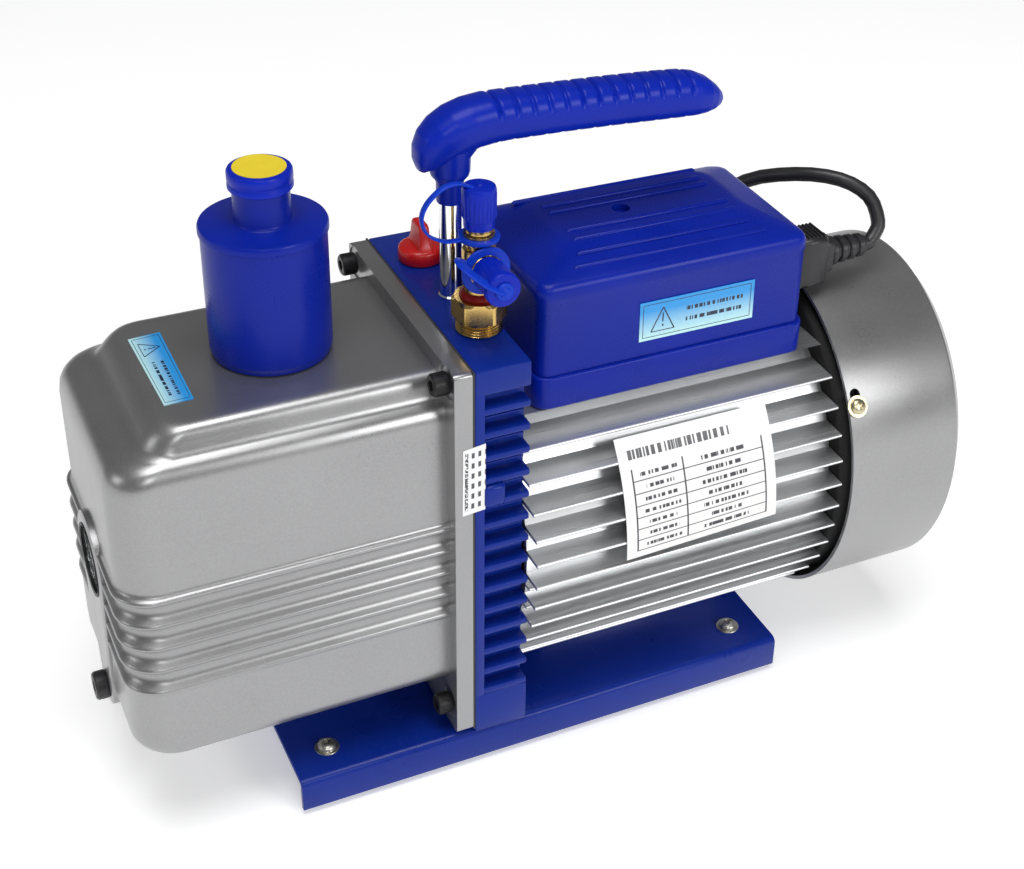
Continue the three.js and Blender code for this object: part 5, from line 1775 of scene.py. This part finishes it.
    def lean(self, side):
        """The place and turn of a cover screw, square to the sheet."""
        z = SHAFT_Z + 42
        y = side * oval_reach(z, COVER_HALF, COVER_RISE)
        turn = Matrix.Rotation(radians(-side * (90 - 33)), 4, "X")
        return Matrix.Translation(place(181, y, z)) @ turn @ Matrix.Translation(-place(0, 0, 0))

    def slot_cutter(self, side):
        low, high = (0, 5.5) if side < 0 else (-5.5, 0)
        outline = arc(0, high, 2.6, 0, 180, 10) + arc(0, low, 2.6, 180, 360, 10)
        rings = [[(x, y, z) for x, y in outline] for z in (-8, 8)]
        cutter = new_object("slot", *skin(rings), None)
        cutter.data.transform(self.lean(side))
        return cutter

    def cover_screws(self):
        for side, name in ((-1, "left"), (1, "right")):
            head = cross_head("head", 3.5, 2.5, finish("yellow_zinc"))
            head.data.transform(Matrix.Translation(place(0, 0, 0.4)))
            shank = turned("shank", [(0, -12), (2, -12), (2, 0.6), (0, 0.6)], finish("yellow_zinc"), sides=20)
            rim = [(2, 0.25), (4.9, 0.25), (5, 0.5), (4.9, 0.75), (2, 0.75)]
            washer = turned("washer", rim, finish("yellow_zinc"), sides=32)
            screw = merge(f"cover_screw_{name}", head, shank, washer)
            screw.data.transform(self.lean(side))
            deliver(screw, "pump", "zinc_screw", f"fan_cover_screw_{name}")


# ---------------------------------------------------------------- terminal box
BOX = {"front": 37.4, "rear": 161.8, "near": -40.4, "far": 35.4, "floor": 164.5, "joint": 179.5}
LID_CREASE, LID_TOP, LID_SCREW_X = 221.3, 228.0, 92.5


class PUMP_OT_terminal_box(PieceOperator):
    """Terminal box, its ribbed cover, mains inlet and switch"""

    bl_idname = "pump.terminal_box"
    bl_label = "Terminal box"

    def level(self, grow, z, radius, ends=None):
        e = grow if ends is None else ends
        far = grow if grow > -3 else grow * 0.68
        outline = rounded_box(BOX["front"] - e, BOX["rear"] + e, BOX["near"] - grow, BOX["far"] + far, radius, radius, 8)
        return [(x, y, z) for x, y in outline]

    def execute(self, context):
        blue = finish("blue_plastic")
        floor, joint = BOX["floor"], BOX["joint"]
        tray = [
            self.level(0.2, floor, 6), self.level(1.1, floor + 0.5, 6.4), self.level(1.5, floor + 1.4, 6.6),
            self.level(1.6, joint - 1.2, 6.6), self.level(1.4, joint - 0.4, 6.5), self.level(0.9, joint, 6.2),
            self.level(-2, joint, 4), self.level(-2, floor + 2.6, 4),
        ]
        tray_obj = new_object("tray", *skin(tray), blue, 50)
        post = turned("post", [(0, floor + 1), (4.4, floor + 1), (4.4, 203), (0, 203)], blue, (LID_SCREW_X, 0, 0), sides=32)
        deliver(merge("terminal_tray", tray_obj, post), "pump", "blue_plastic", "terminal_box_base")
        self.lid(blue)
        paint_node("run_capacitor", "steel")
        self.inlet()
        return {"FINISHED"}

    def lid(self, blue):
        joint = BOX["joint"] + 0.3
        crease, top = LID_CREASE, LID_TOP
        outer = [
            self.level(0, joint, 5.4), self.level(0, joint + 2, 5.4), self.level(0, crease - 7.4, 5.4),
            self.level(0.35, crease - 6.9, 5.6), self.level(0.35, crease - 3.2, 5.6),
            self.level(-0.25, crease - 1.6, 5.4), self.level(-0.9, crease - 0.5, 5.4), self.level(-2, crease + 0.15, 5.4),
            self.level(-4, crease + 0.9, 5.8), self.level(-12, top - 2.8, 8, -12), self.level(-16.5, top - 1.3, 9, -16),
            self.level(-19, top - 0.5, 9, -18.2), self.level(-20.6, top - 0.12, 8.5, -19.8), self.level(-22, top, 8, -21),
        ]
        inner = [
            self.level(-2.4, joint, 3.8), self.level(-2.4, crease - 4, 3.8), self.level(-12, top - 6, 7),
            self.level(-21, top - 3.2, 7),
        ]
        rings = list(reversed(inner)) + outer
        count = len(rings[0])
        vertices = [p for r in rings for p in r]
        faces = []
        for i in range(len(rings) - 1):
            a, b = i * count, (i + 1) * count
            faces += [(a + j, a + (j + 1) % count, b + (j + 1) % count, b + j) for j in range(count)]
        faces.append(tuple(range(count)))
        faces.append(tuple(reversed(range((len(rings) - 1) * count, len(rings) * count))))
        shell = new_object("lid", vertices, faces, blue, 50)
        window = block("window", (BOX["rear"] - 8, BOX["rear"] + 4), (-32, 27), (183.5, 212), None, 0)
        bore = [(0, top - 5), (3.9, top - 5), (3.9, top + 4), (0, top + 4)]
        hole = turned("hole", bore, None, (LID_SCREW_X, 0, 0), sides=40)
        carve(shell, [window, hole], 50)
        boss = turned(
            "boss", [(2.3, 204), (6, 204), (6, top - 3), (3.9, top - 3), (3.9, top - 5), (2.3, top - 5)], blue,
            (LID_SCREW_X, 0, 0), sides=40,
        )
        ribs = []
        lines = [
            (22.4, 53, 139.5, top - 0.75), (13.4, 62.6, 137, top), (7.2, 62.8, 137.4, top), (-10.6, 62.8, 137.4, top),
            (-18.2, 62.3, 136.6, top - 0.2), (-26.6, 60, 138.5, top - 2.1), (-32.6, 56, 144, top - 4.6),
        ]
        for y, x0, x1, z in lines:
            path = [(x0, y, z - 0.5), (x0 + 0.5, y, z), (x1 - 0.5, y, z), (x1, y, z - 0.5)]
            ribs.append(rod_along("rib", path, lambda t: circle(1.1, 12), blue))
        screw = turned(
            "lid_screw",
            [(0, 198), (1.9, 198), (1.9, top - 4.6), (3.5, top - 4.6), (3.6, top - 3.2), (3, top - 2.4), (0, top - 2.2)],
            finish("cap_blue"), (LID_SCREW_X, 0, 0), sides=32,
        )
        slot = block("driver_slot", (LID_SCREW_X - 3, LID_SCREW_X + 3), (-0.5, 0.5), (top - 3.2, top - 1), None, 0)
        carve(screw, [slot])
        deliver(merge("terminal_lid", shell, boss, *ribs), "pump", "blue_plastic", "terminal_box_cover")
        deliver(screw, "pump", "dark_screw", "terminal_cover_screw")

    def inlet(self):
        black = finish("black")
        plate = block("plate", (162.1, 164.6), (-34, 29), (181.5, 214), black, 0.8)
        body = block("body", (146, 162.6), (-31.4, 26.4), (183.9, 211.6), black, 0.3)
        rim = block("rim", (163.6, 165.4), (PLUG_Y - 11, PLUG_Y + 11), (PLUG_Z - 14, PLUG_Z + 14), black, 0.6)
        bezel = block("bezel", (163.6, 165.2), (14 - 8.4, 14 + 8.4), (198 - 12, 198 + 12), black, 0.6)
        housing = merge("inlet_housing", plate, body, rim, bezel)
        cutters = [
            block("socket", (149, 170), (PLUG_Y - 8.4, PLUG_Y + 8.4), (PLUG_Z - 11.9, PLUG_Z + 11.9), None, 0),
            block("pocket", (153.5, 170), (7.2, 20.8), (187.4, 208.6), None, 0),
        ]
        carve(housing, cutters)
        deliver(housing, "pump", "black_plastic", "power_inlet")

        rings = []
        for y in (7.8, 8.2, 19.8, 20.2):
            inset = 0.4 if y in (7.8, 20.2) else 0
            outline = [
                (-3 + inset, -8.6 + inset), (4.6 - inset, -8.6 + inset), (3.9 - inset, 0), (5.4 - inset, 8.6 - inset),
                (-3 + inset, 8.6 - inset),
            ]
            c, d = cos(radians(7)), sin(radians(7))
            rings.append([(160.5 + a * c + b * d, y, 198 - a * d + b * c) for a, b in outline])
        rocker = new_object("switch_rocker", *skin(rings), black, 20)
        soften(rocker, 0.5, 2, 25)
        deliver(rocker, "switch", "black_plastic", "power_switch_rocker")


# ---------------------------------------------------------------- labels
def label(name, corners, finish_name, thick=0.25, grid=(24, 12), follow=None):
    """A thin printed sheet between four stations (low left, low right, high right, high left) with its own map."""
    nx, ny = grid
    low_left, low_right, high_right, high_left = [Vector(c) for c in corners]
    normal = (low_right - low_left).cross(high_left - low_left).normalized()
    points, maps = [], []
    for layer in (0.0, thick):
        for j in range(ny + 1):
            for i in range(nx + 1):
                u, v = i / nx, j / ny
                p = (low_left * (1 - u) + low_right * u) * (1 - v) + (high_left * (1 - u) + high_right * u) * v
                if follow:
                    p = follow(p)
                points.append(tuple(p + normal * layer))
                maps.append((u, v))
    row, layer_size = nx + 1, (nx + 1) * (ny + 1)
    faces = []
    for j in range(ny):
        for i in range(nx):
            a = j * row + i
            faces.append((a, a + row, a + row + 1, a + 1))
            b = a + layer_size
            faces.append((b, b + 1, b + row + 1, b + row))
    rim = [i for i in range(nx)] + [nx + j * row for j in range(ny)]
    rim += [ny * row + nx - i for i in range(nx)] + [(ny - j) * row for j in range(ny)]
    for k, a in enumerate(rim):
        b = rim[(k + 1) % len(rim)]
        faces.append((a, b, b + layer_size, a + layer_size))
    mesh = bpy.data.meshes.new(name)
    mesh.from_pydata([place(*p) for p in points], [], faces)
    layer_map = mesh.uv_layers.new(name="UVMap")
    for loop in mesh.loops:
        layer_map.data[loop.index].uv = maps[loop.vertex_index]
    return wrap_mesh(name, mesh, finish(finish_name), 50)


class PUMP_OT_labels(PieceOperator):
    """Printed labels, with generic marks in place of print"""

    bl_idname = "pump.labels"
    bl_label = "Labels"

    def execute(self, context):
        def onto_fins(p):
            reach = oval_reach(p.z, TIP_HALF, TIP_RISE)
            return Vector((p.x, -reach - 0.15, p.z))

        corners = [(67, -68, 98.3), (139.8, -68, 101.4), (138.4, -68, 150.8), (65.7, -68, 150.6)]
        rating = label("rating_label", corners, "rating", 0.3, (28, 28), onto_fins)
        deliver(rating, "pump", "black_plastic")
        y = BOX["near"] - 0.05
        cover = label("cover_label", [(82.2, y, 187), (136.2, y, 186.9), (136, y, 205.3), (82, y, 205.2)], "caution")
        deliver(cover, "pump", "blue_plastic")
        top = CASE_TOP + 0.03
        corners = [(-111.6, 26.6, top), (-110.4, -25.8, top), (-99, -25.4, top), (-98.6, 27.6, top)]
        tank = label("case_label", corners, "caution")
        deliver(tank, "pump", "silver_paint")
        corners = [(-4.6, -60.25, 137), (5.2, -60.25, 138), (5.4, -60.25, 169.6), (-4.2, -60.25, 168.4)]
        date = label("date_label", corners, "date")
        deliver(date, "pump", "silver_paint")
        return {"FINISHED"}


# ---------------------------------------------------------------- inner pieces
class PUMP_OT_inner_pieces(PieceOperator):
    """Finishes for the working parts inside the case and the motor"""

    bl_idname = "pump.inner_pieces"
    bl_label = "Inner pieces"

    def execute(self, context):
        looks = {
            "iron": ["stage_one_stator", "stage_two_stator", "middle_plate", "end_plate", "motor_rotor"],
            "steel": ["stage_one_rotor", "stage_two_rotor", "motor_shaft", "front_bearing", "rear_bearing"],
            "vane": ["stage_one_vane_a", "stage_one_vane_b", "stage_two_vane_a", "stage_two_vane_b"],
            "copper": ["stator_core"],
            "felt": ["exhaust_filter_element"],
            "black": ["cooling_fan"],
        }
        for name, nodes in looks.items():
            for node in nodes:
                paint_node(node, name)
        return {"FINISHED"}


# ---------------------------------------------------------------- panel and registration
OPERATORS = [
    PUMP_OT_stage,
    PUMP_OT_lead,
    PUMP_OT_base,
    PUMP_OT_oil_case,
    PUMP_OT_body,
    PUMP_OT_fill_cap,
    PUMP_OT_handle,
    PUMP_OT_inlet,
    PUMP_OT_exhaust,
    PUMP_OT_motor,
    PUMP_OT_terminal_box,
    PUMP_OT_labels,
    PUMP_OT_inner_pieces,
]


class PUMP_PT_panel(bpy.types.Panel):
    """Lists the pump's pieces and its sizes"""

    bl_label = "Vacuum Pump"
    bl_idname = "PUMP_PT_panel"
    bl_space_type = "VIEW_3D"
    bl_region_type = "UI"
    bl_category = "Vacuum Pump"

    def draw(self, context):
        scene = context.scene
        for group in (scene.pump_sizes, scene.pump_colours, scene.pump_look):
            for key in group.__annotations__:
                self.layout.prop(group, key)
        for operator in OPERATORS:
            self.layout.operator(operator.bl_idname)


CLASSES = [PumpSizes, PumpColours, PumpLook, *OPERATORS, PUMP_PT_panel]


def register():
    for cls in CLASSES:
        bpy.utils.register_class(cls)
    bpy.types.Scene.pump_sizes = bpy.props.PointerProperty(type=PumpSizes)
    bpy.types.Scene.pump_colours = bpy.props.PointerProperty(type=PumpColours)
    bpy.types.Scene.pump_look = bpy.props.PointerProperty(type=PumpLook)


def unregister():
    del bpy.types.Scene.pump_sizes
    del bpy.types.Scene.pump_colours
    del bpy.types.Scene.pump_look
    for cls in reversed(CLASSES):
        bpy.utils.unregister_class(cls)


def main():
    register()
    for operator in OPERATORS:
        group, name = operator.bl_idname.split(".")
        getattr(getattr(bpy.ops, group), name)()


if __name__ == "__main__":
    main()
